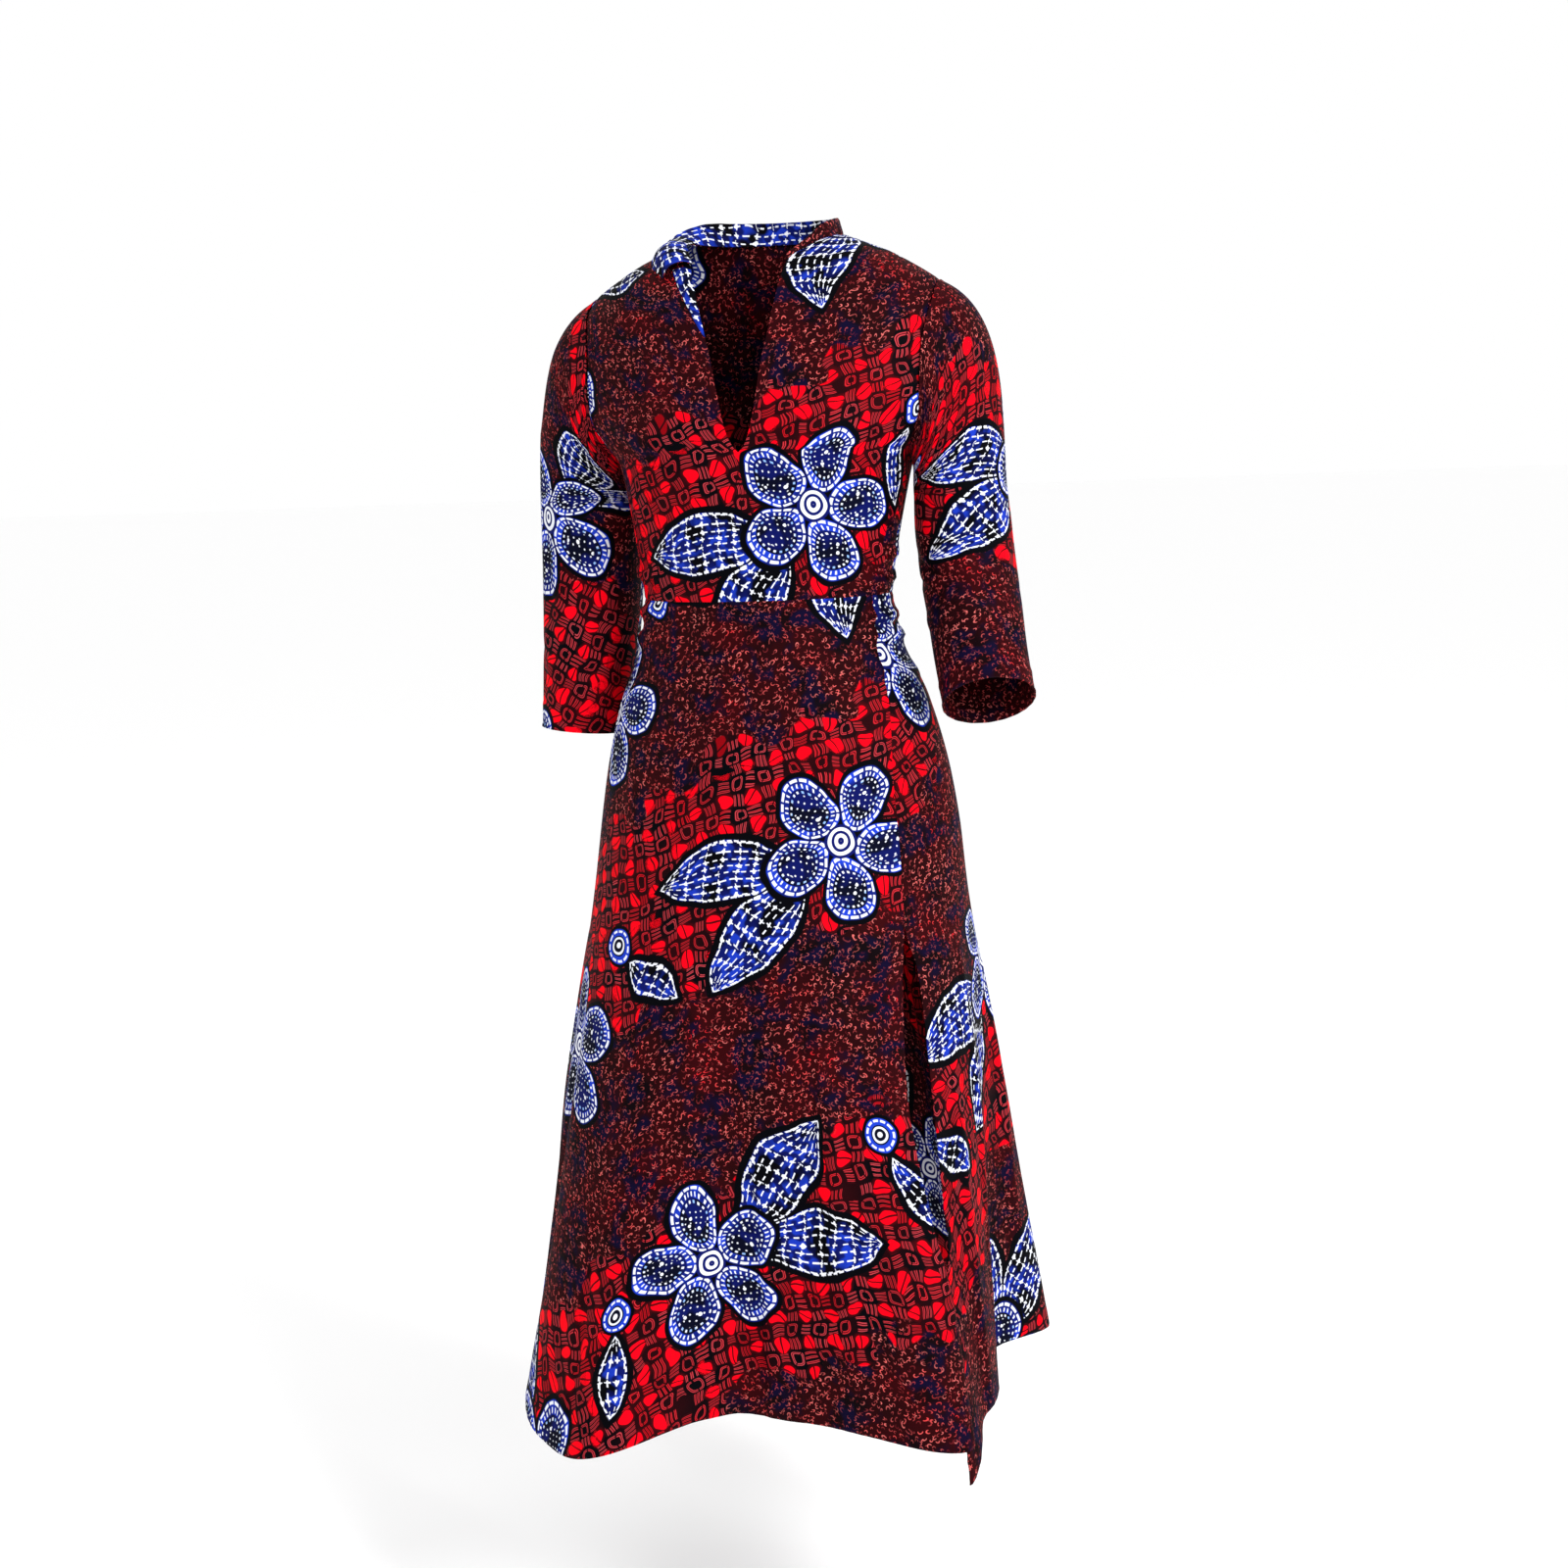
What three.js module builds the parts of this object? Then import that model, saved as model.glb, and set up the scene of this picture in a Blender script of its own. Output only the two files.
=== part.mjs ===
// Ankara wax print midi dress in its worn, hollow shape: fitted bodice with a slashed V neck and a small
// stand collar, set-in three-quarter sleeves, waist seam, flared skirt with a slit on the wearer's left front.
// Millimetres, +Z up, the front faces -Y and the wearer's left is +X. The origin is midway between the two
// side-neck points. Every piece is a thin wall of cloth, and neighbouring pieces stay a seam gap apart.
import * as THREE from 'three';

// ---- Driving dimensions ----
const CLOTH = 1.5; // wall thickness
const SEAM_GAP = 0.4; // clear space along each seam
const WAIST_Z = -360;
const HEM_Z = -1169;
const V_POINT = { z: -213, x: 4 };
const SLIT_TOP_Z = -676;
const COLLAR_END_Z = -25;
const FACING_END_Z = -99;
const ARMHOLE = { top: -52, bottom: -222, front: 21, back: 21 }; // front and back reach in degrees
const CENTRE_BACK = 180; // degrees; 0 is centre front and 90 the wearer's left side
const SIDE = 90;

// Body sections, top to bottom: half width, centre-front and centre-back y, y of the side seam, squareness.
const BODY = table(['z', 'half', 'front', 'back', 'seam', 'power'], [
  [0, 82, -48, 84, 0, 2.0],
  [-10, 108, -60, 86, 0, 2.0],
  [-21, 133, -70, 88, 0, 2.05],
  [-32, 152, -79, 90, 0, 2.1],
  [-52, 181, -93, 94, 0, 2.1],
  [-75, 197, -105, 96, 0, 2.15],
  [-100, 202, -114, 97, -2, 2.2],
  [-135, 200, -126, 95, -7, 2.25],
  [-175, 188, -136, 89, -14, 2.3],
  [-200, 168, -141, 83, -18, 2.35],
  [-222, 152, -142, 78, -21, 2.35],
  [-260, 144, -138, 66, -28, 2.25],
  [-310, 136, -131, 50, -38, 2.15],
  [-360, 130, -126, 40, -44, 2.1],
  [-408, 137, -134, 56, -42, 2.1],
  [-467, 162, -148, 76, -40, 2.05],
  [-544, 182, -166, 94, -38, 2.0],
  [-670, 200, -202, 108, -42, 2.0],
  [-775, 218, -222, 121, -45, 2.0],
  [-880, 236, -236, 135, -48, 2.0],
  [-990, 250, -245, 150, -50, 2.0],
  [-1100, 266, -255, 163, -52, 2.0],
  [-1200, 280, -264, 174, -53, 2.0],
]);

// Skirt flutes: angle, reach towards smaller and larger angles, height out at the hem, where each starts.
const FLUTES = table(['angle', 'before', 'after', 'height', 'top', 'growth'], [
  [-28, 18, 14, 60, -600, 1.5],
  [-46, 36, 20, 60, -560, 1.4],
  [-4, 14, 20, -34, -620, 1.5],
  [14, 20, 18, -20, -620, 1.5],
  [48, 26, 16, 52, -690, 1.4],
  [91, 31, 20, -66, -600, 1.3],
  [112, 12, 18, 8, -640, 1.2],
  [134, 18, 18, -26, -560, 1.3],
  [156, 18, 16, 30, -540, 1.3],
  [180, 20, 20, -20, -560, 1.3],
  [-154, 18, 18, 30, -540, 1.3],
  [-128, 20, 20, -26, -560, 1.3],
  [-102, 20, 22, 16, -580, 1.3],
]);

// Where the hem hangs lower than the rest.
const HEM_DIPS = table(['angle', 'before', 'after', 'depth'], [
  [-38, 30, 26, 30],
  [52, 24, 20, 14],
  [98, 16, 30, -10],
]);
const SLIT_CORNER = { drop: 34, reach: 11 }; // the back panel's corner at the slit hangs lower still

// Fullness that the bust darts release.
const BUST = { angle: 37, z: -205, height: 8, reach: 30, rise: 62 };

// Edge of the V and of the front neckline on the wearer's left and right, as x.
const NECK_EDGE = table(['z', 'left', 'right'], [
  [-213, 4, 4],
  [-208, 9, -1],
  [-192, 15, -9],
  [-158, 21, -18],
  [-125, 25, -26],
  [-99, 30, -34],
  [-68, 35, -44],
  [-41, 39, -54],
  [-25, 43, -60],
  [-14, 57, -67],
  [-8, 66, -72],
  [-4, 73, -77],
  [-1, 80, -82],
]);

// The seam that ends in the slit, then the two edges of the slit, in degrees.
const SLIT = table(['z', 'frontEdge', 'sideEdge'], [
  [-360, 74, 74],
  [-462, 67, 67],
  [-541, 61, 61],
  [-612, 58.5, 58.5],
  [-676, 56.3, 56.3],
  [-725, 53, 58.5],
  [-856, 48.5, 56.5],
  [-947, 50, 55.2],
  [-1041, 53.2, 54.2],
  [-1195, 51.5, 51.9],
]);

// Sleeve sections below the armhole: centre, sideways and fore-and-aft radius.
const SLEEVE_COLUMNS = ['x', 'y', 'z', 'across', 'deep'];
const SLEEVE_LEFT = table(SLEEVE_COLUMNS, [
  [197, -8, -262, 46, 56],
  [199, -8, -301, 48, 56],
  [204, -15, -341, 48, 54],
  [212, -29, -381, 47, 52],
  [220, -47, -420, 46, 50],
  [233, -76, -467, 45, 47],
]);
const SLEEVE_RIGHT = table(SLEEVE_COLUMNS, [
  [-199, -6, -258, 54, 56],
  [-203, -4, -328, 53, 54],
  [-209, -2, -395, 51, 52],
  [-216, -1, -450, 48, 50],
  [-221, -2, -501, 46, 49],
]);

// Collar along the neckline, left front end to right front end: height and outward lean in degrees.
const COLLAR = table(['along', 'height', 'lean'], [
  [0, 4, -8],
  [0.07, 9, -16],
  [0.15, 17, -20],
  [0.3, 21, -10],
  [0.5, 23, -2],
  [0.66, 24, 8],
  [0.76, 27, 62],
  [0.84, 28, 92],
  [0.92, 28, 98],
  [1, 25, 96],
]);

const BODICE_ROWS = [-360, -328, -296, -268, -244, -222, -213, -200, -180, -158, -134, -110, -88, -70, -58, -52,
  -42, -30, -24.99, -14, -8, -4, -1];
const ARMHOLE_ROWS = BODICE_ROWS.filter((z) => z >= ARMHOLE.bottom && z <= ARMHOLE.top);
const COLLAR_ROWS = BODICE_ROWS.filter((z) => z > COLLAR_END_Z);
const BODICE_COLUMNS = 9;
const BACK_COLUMNS = 8;
const SKIRT_ROWS = 14;
const HEAD_ROWS = 5; // rings of the sleeve between the armhole and the first section
const FACING_WIDTH = 22;

// ---- Small helpers ----
function table(columns, rows) {
  return rows.map((row) => Object.fromEntries(columns.map((name, i) => [name, row[i]])));
}

const radians = (degrees) => THREE.MathUtils.degToRad(degrees);
const mix = (a, b, t) => a + (b - a) * t;
const clamp01 = (t) => Math.min(1, Math.max(0, t));

// Smooth values of every column at one place along a table, without overshoot between rows.
function sample(rows, key, value) {
  const sign = Math.sign(rows[1][key] - rows[0][key]);
  const last = rows.length - 1;
  let i = 0;
  while (i < last - 1 && sign * (value - rows[i + 1][key]) > 0) i += 1;
  const span = rows[i + 1][key] - rows[i][key];
  const t = clamp01((value - rows[i][key]) / span);
  const result = {};
  for (const name of Object.keys(rows[0])) {
    const slope = (k) => {
      if (k <= 0 || k >= last) return 0;
      const before = (rows[k][name] - rows[k - 1][name]) / (rows[k][key] - rows[k - 1][key]);
      const after = (rows[k + 1][name] - rows[k][name]) / (rows[k + 1][key] - rows[k][key]);
      return before * after <= 0 ? 0 : (2 * before * after) / (before + after);
    };
    const edge = (rows[i + 1][name] - rows[i][name]) / span;
    const start = i === 0 ? edge : slope(i);
    const end = i + 1 === last ? edge : slope(i + 1);
    const t2 = t * t;
    const t3 = t2 * t;
    result[name] = (2 * t3 - 3 * t2 + 1) * rows[i][name] + (t3 - 2 * t2 + t) * span * start
      + (3 * t2 - 2 * t3) * rows[i + 1][name] + (t3 - t2) * span * end;
  }
  return result;
}

// A soft hump: 1 at its middle, 0 at each reach.
function hump(offset, before, after) {
  const t = Math.abs(offset) / (offset < 0 ? before : after);
  return t < 1 ? (1 + Math.cos(Math.PI * t)) / 2 : 0;
}

const turn = (angle) => ((angle + 540) % 360) - 180;

// ---- The body surface that all the panels share ----
function fluteHeight(angle, z) {
  let height = 0;
  for (const flute of FLUTES) {
    const grown = clamp01((flute.top - z) / (flute.top - HEM_Z)) ** flute.growth;
    height += flute.height * grown * hump(turn(angle - flute.angle), flute.before, flute.after);
  }
  return height;
}

function bustHeight(angle, z) {
  const across = hump(Math.abs(angle) - BUST.angle, BUST.reach, BUST.reach);
  return BUST.height * across * hump(z - BUST.z, BUST.rise, BUST.rise);
}

function bodyPoint(angle, z) {
  const row = sample(BODY, 'z', z);
  const a = radians(angle);
  const depth = Math.cos(a) > 0 ? row.seam - row.front : row.back - row.seam;
  const across = Math.abs(Math.sin(a)) / row.half;
  const along = Math.abs(Math.cos(a)) / depth;
  const radius = (across ** row.power + along ** row.power) ** (-1 / row.power);
  const r = radius + fluteHeight(angle, z) + bustHeight(angle, z);
  return new THREE.Vector3(r * Math.sin(a), row.seam - r * Math.cos(a), z);
}

function bodyNormal(angle, z) {
  const across = bodyPoint(angle + 0.5, z).sub(bodyPoint(angle - 0.5, z));
  const up = bodyPoint(angle, Math.min(0, z + 1)).sub(bodyPoint(angle, z - 1));
  return across.cross(up).normalize();
}

// The angle of the point with this x on the front of the section at z.
function frontAngle(x, z) {
  const row = sample(BODY, 'z', z);
  const fraction = Math.min(1, Math.abs(x) / row.half);
  const y = (row.seam - row.front) * (1 - fraction ** row.power) ** (1 / row.power);
  return THREE.MathUtils.radToDeg(Math.atan2(x, y));
}

// Half the seam gap as an angle at this height.
function gapAngle(z) {
  return THREE.MathUtils.radToDeg(SEAM_GAP / 2 / sample(BODY, 'z', z).half);
}

// The armhole reaches this many degrees in front of or behind the side line.
function armholeReach(z, reach) {
  const middle = (ARMHOLE.top + ARMHOLE.bottom) / 2;
  const t = (z - middle) / ((ARMHOLE.top - ARMHOLE.bottom) / 2);
  return Math.abs(t) < 1 ? reach * Math.sqrt(1 - t * t) : 0;
}

// The skirt hangs lower at some flutes.
function hemZ(angle) {
  const drops = HEM_DIPS.map((dip) => dip.depth * hump(turn(angle - dip.angle), dip.before, dip.after));
  return HEM_Z - drops.reduce((sum, drop) => sum + drop, 0);
}

// ---- Walls of cloth ----
// A patch is rows of { point, normal }. Patches that share edge points become one piece, and the wall
// goes inwards from those points.
function wall(patches, thickness = CLOTH) {
  const outer = [];
  const inner = [];
  const known = new Map();
  const index = ({ point, normal }) => {
    const key = point.toArray().map((value) => value.toFixed(3)).join();
    if (!known.has(key)) {
      known.set(key, outer.length);
      outer.push(point);
      inner.push(point.clone().addScaledVector(normal, -thickness));
    }
    return known.get(key);
  };
  const faces = [];
  const addFace = (a, b, c) => {
    if (a !== b && b !== c && c !== a) faces.push([a, b, c]);
  };
  for (const rows of patches) {
    for (let j = 0; j + 1 < rows.length; j += 1) {
      for (let i = 0; i + 1 < rows[j].length; i += 1) {
        const corners = [rows[j][i], rows[j][i + 1], rows[j + 1][i + 1], rows[j + 1][i]].map(index);
        addFace(corners[0], corners[1], corners[2]);
        addFace(corners[0], corners[2], corners[3]);
      }
    }
  }
  const edges = new Set(faces.flatMap(([a, b, c]) => [`${a},${b}`, `${b},${c}`, `${c},${a}`]));
  const count = outer.length;
  const triangles = [...faces.flat(), ...faces.flatMap(([a, b, c]) => [a + count, c + count, b + count])];
  for (const edge of edges) {
    const [a, b] = edge.split(',').map(Number);
    if (!edges.has(`${b},${a}`)) triangles.push(a, a + count, b, b, a + count, b + count);
  }
  const geometry = new THREE.BufferGeometry();
  const flat = [...outer, ...inner].flatMap((point) => point.toArray());
  geometry.setAttribute('position', new THREE.Float32BufferAttribute(flat, 3));
  geometry.setIndex(triangles);
  geometry.computeVertexNormals();
  return geometry;
}

// A patch of the body surface: place(u, v) gives the angle and height for u and v from 0 to 1.
function bodyPatch(columns, heights, place) {
  return heights.map((height) => Array.from({ length: columns + 1 }, (_, i) => {
    const [angle, z] = place(i / columns, height);
    return { point: bodyPoint(angle, z), normal: bodyNormal(angle, z) };
  }));
}

// ---- Bodice ----
function neckAngle(side, z) {
  const edge = sample(NECK_EDGE, 'z', Math.max(z, V_POINT.z));
  return frontAngle(z <= V_POINT.z ? V_POINT.x : edge[side], z);
}

function bodiceFront() {
  const outerAngle = (z) => SIDE - gapAngle(z) - armholeReach(z, ARMHOLE.front);
  const left = bodyPatch(BODICE_COLUMNS, BODICE_ROWS, (u, z) => [mix(neckAngle('left', z), outerAngle(z), u), z]);
  const right = bodyPatch(BODICE_COLUMNS, BODICE_ROWS, (u, z) => [mix(-outerAngle(z), neckAngle('right', z), u), z]);
  return wall([left, right]);
}

// The back panels reach up to the collar seam at the origin's height.
function bodiceBack(side) {
  const rows = [...BODICE_ROWS, 0];
  const outer = (z) => SIDE + gapAngle(z) + armholeReach(z, ARMHOLE.back);
  const centre = (z) => CENTRE_BACK - gapAngle(z);
  const place = (u, z) => {
    const angle = side > 0 ? mix(outer(z), centre(z), u) : mix(-centre(z), -outer(z), u);
    return [angle, z];
  };
  return wall([bodyPatch(BACK_COLUMNS, rows, place)]);
}

// ---- Sleeves ----
// Places round the armhole as one loop: down the front edge and up the back edge.
function armholeLoop(side) {
  const middle = (ARMHOLE.top + ARMHOLE.bottom) / 2;
  const half = (ARMHOLE.top - ARMHOLE.bottom) / 2;
  const down = [...ARMHOLE_ROWS].reverse();
  const front = down.map((z) => ({ z, angle: SIDE - armholeReach(z, ARMHOLE.front), facing: 1 }));
  const back = down.slice(1, -1).reverse()
    .map((z) => ({ z, angle: SIDE + armholeReach(z, ARMHOLE.back), facing: -1 }));
  return [...front, ...back, front[0]].map(({ z, angle, facing }) => ({
    point: bodyPoint(side * angle, z),
    around: facing * Math.acos(THREE.MathUtils.clamp((z - middle) / half, -1, 1)),
  }));
}

// Cubic from one point to another with a direction of travel at each.
function hermite(start, startPull, end, endPull, t) {
  const t2 = t * t;
  const t3 = t2 * t;
  return new THREE.Vector3()
    .addScaledVector(start, 2 * t3 - 3 * t2 + 1)
    .addScaledVector(startPull, t3 - 2 * t2 + t)
    .addScaledVector(end, 3 * t2 - 2 * t3)
    .addScaledVector(endPull, t3 - t2);
}

function sleeveRing(sections, k, side, around) {
  const here = sections[k];
  const before = sections[Math.max(0, k - 1)];
  const after = sections[Math.min(sections.length - 1, k + 1)];
  const along = new THREE.Vector3(after.x - before.x, after.y - before.y, after.z - before.z).normalize();
  const forward = new THREE.Vector3(0, -1, 0).addScaledVector(along, along.y).normalize();
  const outward = new THREE.Vector3().crossVectors(forward, along).multiplyScalar(side).normalize();
  return new THREE.Vector3(here.x, here.y, here.z)
    .addScaledVector(outward, here.across * Math.cos(around))
    .addScaledVector(forward, here.deep * Math.sin(around));
}

function sleeve(side, sections) {
  const loop = armholeLoop(side);
  const rings = loop.map(({ point, around }) => {
    const top = (1 + Math.cos(around)) / 2; // 1 on the shoulder, 0 under the arm
    const leave = new THREE.Vector3(side * mix(0.25, 1, top), -0.12 * Math.sin(around), mix(-1, -0.42, top));
    leave.normalize();
    const start = point.clone().addScaledVector(leave, 1.5 * SEAM_GAP);
    const end = sleeveRing(sections, 0, side, around);
    const reach = start.distanceTo(end);
    const hang = new THREE.Vector3(side * 0.05, 0, -1).multiplyScalar(reach);
    const line = Array.from({ length: HEAD_ROWS }, (_, k) => (
      hermite(start, leave.clone().multiplyScalar(reach), end, hang, k / HEAD_ROWS)));
    return [...line, ...sections.map((_, k) => sleeveRing(sections, k, side, around))];
  });
  const last = rings.length - 1;
  const normal = (i, k) => {
    const before = rings[i === 0 ? last - 1 : i - 1];
    const after = rings[i === last ? 1 : i + 1];
    const round = after[k].clone().sub(before[k]);
    const down = rings[i][Math.min(k + 1, rings[i].length - 1)].clone().sub(rings[i][Math.max(k - 1, 0)]);
    return round.cross(down).multiplyScalar(side).normalize();
  };
  const patch = rings[0].map((_, k) => {
    const row = rings.map((line, i) => ({ point: line[k], normal: normal(i, k) }));
    return side > 0 ? row : row.reverse();
  });
  return wall([patch]);
}

// ---- Collar and facing ----
// The neckline from the wearer's left front, round the back, to the wearer's right front.
function neckline() {
  const left = COLLAR_ROWS.map((z) => bodyPoint(neckAngle('left', z), z));
  const right = COLLAR_ROWS.map((z) => bodyPoint(neckAngle('right', z), z));
  const back = Array.from({ length: 2 * BACK_COLUMNS + 1 }, (_, i) => (
    bodyPoint(mix(SIDE, 2 * CENTRE_BACK - SIDE, i / (2 * BACK_COLUMNS)), 0)));
  return [...left, ...back, ...right.reverse()];
}

function collar() {
  const line = neckline();
  const steps = line.map((point, i) => (i ? point.distanceTo(line[i - 1]) : 0));
  const total = steps.reduce((sum, step) => sum + step, 0);
  let walked = 0;
  const columns = line.map((point, i) => {
    walked += steps[i];
    const { height, lean } = sample(COLLAR, 'along', walked / total);
    const travel = line[Math.min(i + 1, line.length - 1)].clone().sub(line[Math.max(i - 1, 0)]);
    const outward = new THREE.Vector3(-travel.y, travel.x, 0).negate().normalize();
    const rise = new THREE.Vector3(0, 0, Math.cos(radians(lean))).addScaledVector(outward, Math.sin(radians(lean)));
    const normal = outward.clone().multiplyScalar(Math.cos(radians(lean)));
    normal.z = -Math.sin(radians(lean));
    return [0, 0.5, 1].map((t) => ({
      point: point.clone().addScaledVector(rise, 2 * SEAM_GAP + t * height).addScaledVector(outward, -0.2),
      normal,
    }));
  });
  return wall([[0, 1, 2].map((k) => columns.map((column) => column[k]))], CLOTH);
}

// The facing of the wearer's right front edge, turned out over the bodice.
function frontFacing() {
  const rows = BODICE_ROWS.filter((z) => z >= FACING_END_Z && z < COLLAR_END_Z - 1);
  const patch = rows.map((z) => {
    const inner = neckAngle('right', z);
    const width = FACING_WIDTH * clamp01((z - FACING_END_Z) / (COLLAR_END_Z - FACING_END_Z)) ** 0.8;
    const outer = frontAngle(sample(NECK_EDGE, 'z', z).right - Math.max(width, 2), z);
    return [outer, (outer + inner) / 2, inner].map((angle) => {
      const normal = bodyNormal(angle, z);
      return { point: bodyPoint(angle, z).addScaledVector(normal, CLOTH + SEAM_GAP), normal };
    });
  });
  return wall([patch]);
}

// ---- Skirt ----
function skirtPanel(columns, from, to, cornerDrop = () => 0) {
  const heights = Array.from({ length: SKIRT_ROWS + 1 }, (_, j) => 1 - j / SKIRT_ROWS);
  const top = WAIST_Z - SEAM_GAP;
  return wall([bodyPatch(columns, heights, (u, v) => {
    const level = mix(top, HEM_Z, v);
    const angle = mix(from(level), to(level), u);
    const below = clamp01((SLIT_TOP_Z - level) / (SLIT_TOP_Z - HEM_Z)) ** 2;
    return [angle, mix(top, hemZ(angle), v) - below * cornerDrop(angle - from(level))];
  })]);
}

// Both edges follow one line down to the top of the slit.
function slitAngle(z, edge) {
  return sample(SLIT, 'z', z)[z < SLIT_TOP_Z ? edge : 'frontEdge'];
}

const skirtFront = () => skirtPanel(24, (z) => gapAngle(z) - SIDE, (z) => slitAngle(z, 'frontEdge') - gapAngle(z));
const skirtBackLeft = () => skirtPanel(24, (z) => slitAngle(z, 'sideEdge') + gapAngle(z), (z) => (
  CENTRE_BACK - gapAngle(z)), (beyond) => SLIT_CORNER.drop * hump(beyond, 1, SLIT_CORNER.reach));
const skirtBackRight = () => skirtPanel(16, (z) => gapAngle(z) - CENTRE_BACK, (z) => -SIDE - gapAngle(z));

// ---- Materials and assembly ----
function cloth(color) {
  return new THREE.MeshStandardMaterial({ color, roughness: 0.75, metalness: 0, side: THREE.DoubleSide });
}

const print = { bodice: 0x4a0d12, skirt: 0x5a0e14, sleeve: 0x5e1016, collar: 0x23245a };
const dress = new THREE.Group();

function addPiece(name, geometry, color) {
  const piece = new THREE.Mesh(geometry, cloth(color));
  piece.name = name;
  dress.add(piece);
}

addPiece('bodice_front', bodiceFront(), print.bodice);
addPiece('bodice_back_left', bodiceBack(1), print.bodice);
addPiece('bodice_back_right', bodiceBack(-1), print.bodice);
addPiece('sleeve_left', sleeve(1, SLEEVE_LEFT), print.sleeve);
addPiece('sleeve_right', sleeve(-1, SLEEVE_RIGHT), print.sleeve);
addPiece('collar', collar(), print.collar);
addPiece('front_facing', frontFacing(), print.collar);
addPiece('skirt_front', skirtFront(), print.skirt);
addPiece('skirt_back_left', skirtBackLeft(), print.skirt);
addPiece('skirt_back_right', skirtBackRight(), print.skirt);

export default dress;
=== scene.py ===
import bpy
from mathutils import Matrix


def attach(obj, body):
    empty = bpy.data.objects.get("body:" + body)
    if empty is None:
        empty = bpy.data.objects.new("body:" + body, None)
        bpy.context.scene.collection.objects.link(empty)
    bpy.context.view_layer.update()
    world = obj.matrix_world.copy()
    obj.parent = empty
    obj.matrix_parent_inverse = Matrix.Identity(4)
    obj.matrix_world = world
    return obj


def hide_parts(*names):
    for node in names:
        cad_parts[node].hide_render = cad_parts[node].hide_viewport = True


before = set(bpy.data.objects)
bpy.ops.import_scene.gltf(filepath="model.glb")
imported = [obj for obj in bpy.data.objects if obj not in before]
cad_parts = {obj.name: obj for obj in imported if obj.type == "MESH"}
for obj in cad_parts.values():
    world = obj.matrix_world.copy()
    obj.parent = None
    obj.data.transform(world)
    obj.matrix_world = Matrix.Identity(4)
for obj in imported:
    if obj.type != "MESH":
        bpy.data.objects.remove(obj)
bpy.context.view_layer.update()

import math

import bpy
import numpy as np
from mathutils import Matrix, Vector

MM = 0.001
BODY_NAME = "root"

# ---- Driving dimensions ----
CLOTH = 0.8  # thickness of one layer with its finish
HEM_LAYERS = 0.7  # the turned-up allowance adds this much inside
SEAM_GAP = 0.4
WAIST_Z = -360
HEM_Z = -1169
V_POINT_Z = -213
V_POINT_X = 4
SLIT_TOP_Z = -676
COLLAR_END_Z = -25
FACING_END_Z = -99
FACING_WIDTH = 22
ARMHOLE_TOP = -52
ARMHOLE_BOTTOM = -222
ARMHOLE_REACH = 21  # degrees in front of and behind the side line
CORNER_DROP = 34
CORNER_REACH = 11
TUCK_TOP_Z = -965  # below here the slit's back edge passes behind its front edge
TUCK_FULL_Z = -1030
TUCK_DEPTH = 7
TUCK_REACH = 34
TUCK_ANGLE = 2.2
BUST_ANGLE = 37
BUST_Z = -205
BUST_HEIGHT = 8
BUST_REACH = 30
BUST_RISE = 62
GRID = 4.5  # usual size of a mesh face
SKIRT_GRID = 5
SEAM_HALF = 0.02  # degrees that each panel stops short of a seam
HEM_DEPTH = 24
HEM_ONLY = (0, HEM_DEPTH, 0, 0)  # turned up at the last row and at no other edge
ALL_EDGES = (1, 1, 1, 1)
FRONT_WIDTH = 150  # usual width of half the bodice front, and of the other pieces below
BACK_WIDTH = 170
SLEEVE_HEAD = 150
SLEEVE_STEPS = 97
SLEEVE_RADIUS = 52
COLLAR_CLOTH = 1.5
FACING_TOP_Z = -30
MESH_ROW = 8.4  # distance between the rows of the white mesh
PETALS = 5
FULL_TURN = 2 * math.pi
DYE_DEPTH = 0.84
EDGE_STEPS = np.array([0, 0.4, 1, 1.8, 3, 5])  # faces get finer towards every edge


def table(columns, rows):
    """Named columns, each an array with a value for every row."""
    return dict(zip(columns.split(), np.array(rows, float).T))


# Body sections: half width, centre-front and centre-back y, y of the side seam, squareness.
BODY = table("z half front back seam power", [
    (0, 82, -48, 84, 0, 2.0),
    (-10, 108, -60, 86, 0, 2.0),
    (-21, 133, -70, 88, 0, 2.05),
    (-32, 152, -79, 90, 0, 2.1),
    (-52, 181, -93, 94, 0, 2.1),
    (-75, 197, -105, 96, 0, 2.15),
    (-100, 202, -114, 97, -2, 2.2),
    (-135, 200, -126, 95, -7, 2.25),
    (-175, 188, -136, 89, -14, 2.3),
    (-200, 168, -141, 83, -18, 2.35),
    (-222, 152, -142, 78, -21, 2.35),
    (-260, 144, -138, 66, -28, 2.25),
    (-310, 136, -131, 50, -38, 2.15),
    (-360, 130, -126, 40, -44, 2.1),
    (-408, 137, -134, 56, -42, 2.1),
    (-467, 162, -148, 76, -40, 2.05),
    (-544, 182, -166, 94, -38, 2.0),
    (-670, 200, -202, 108, -42, 2.0),
    (-775, 218, -222, 121, -45, 2.0),
    (-880, 236, -236, 135, -48, 2.0),
    (-990, 250, -245, 150, -50, 2.0),
    (-1100, 266, -255, 163, -52, 2.0),
    (-1200, 280, -264, 174, -53, 2.0),
])

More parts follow.
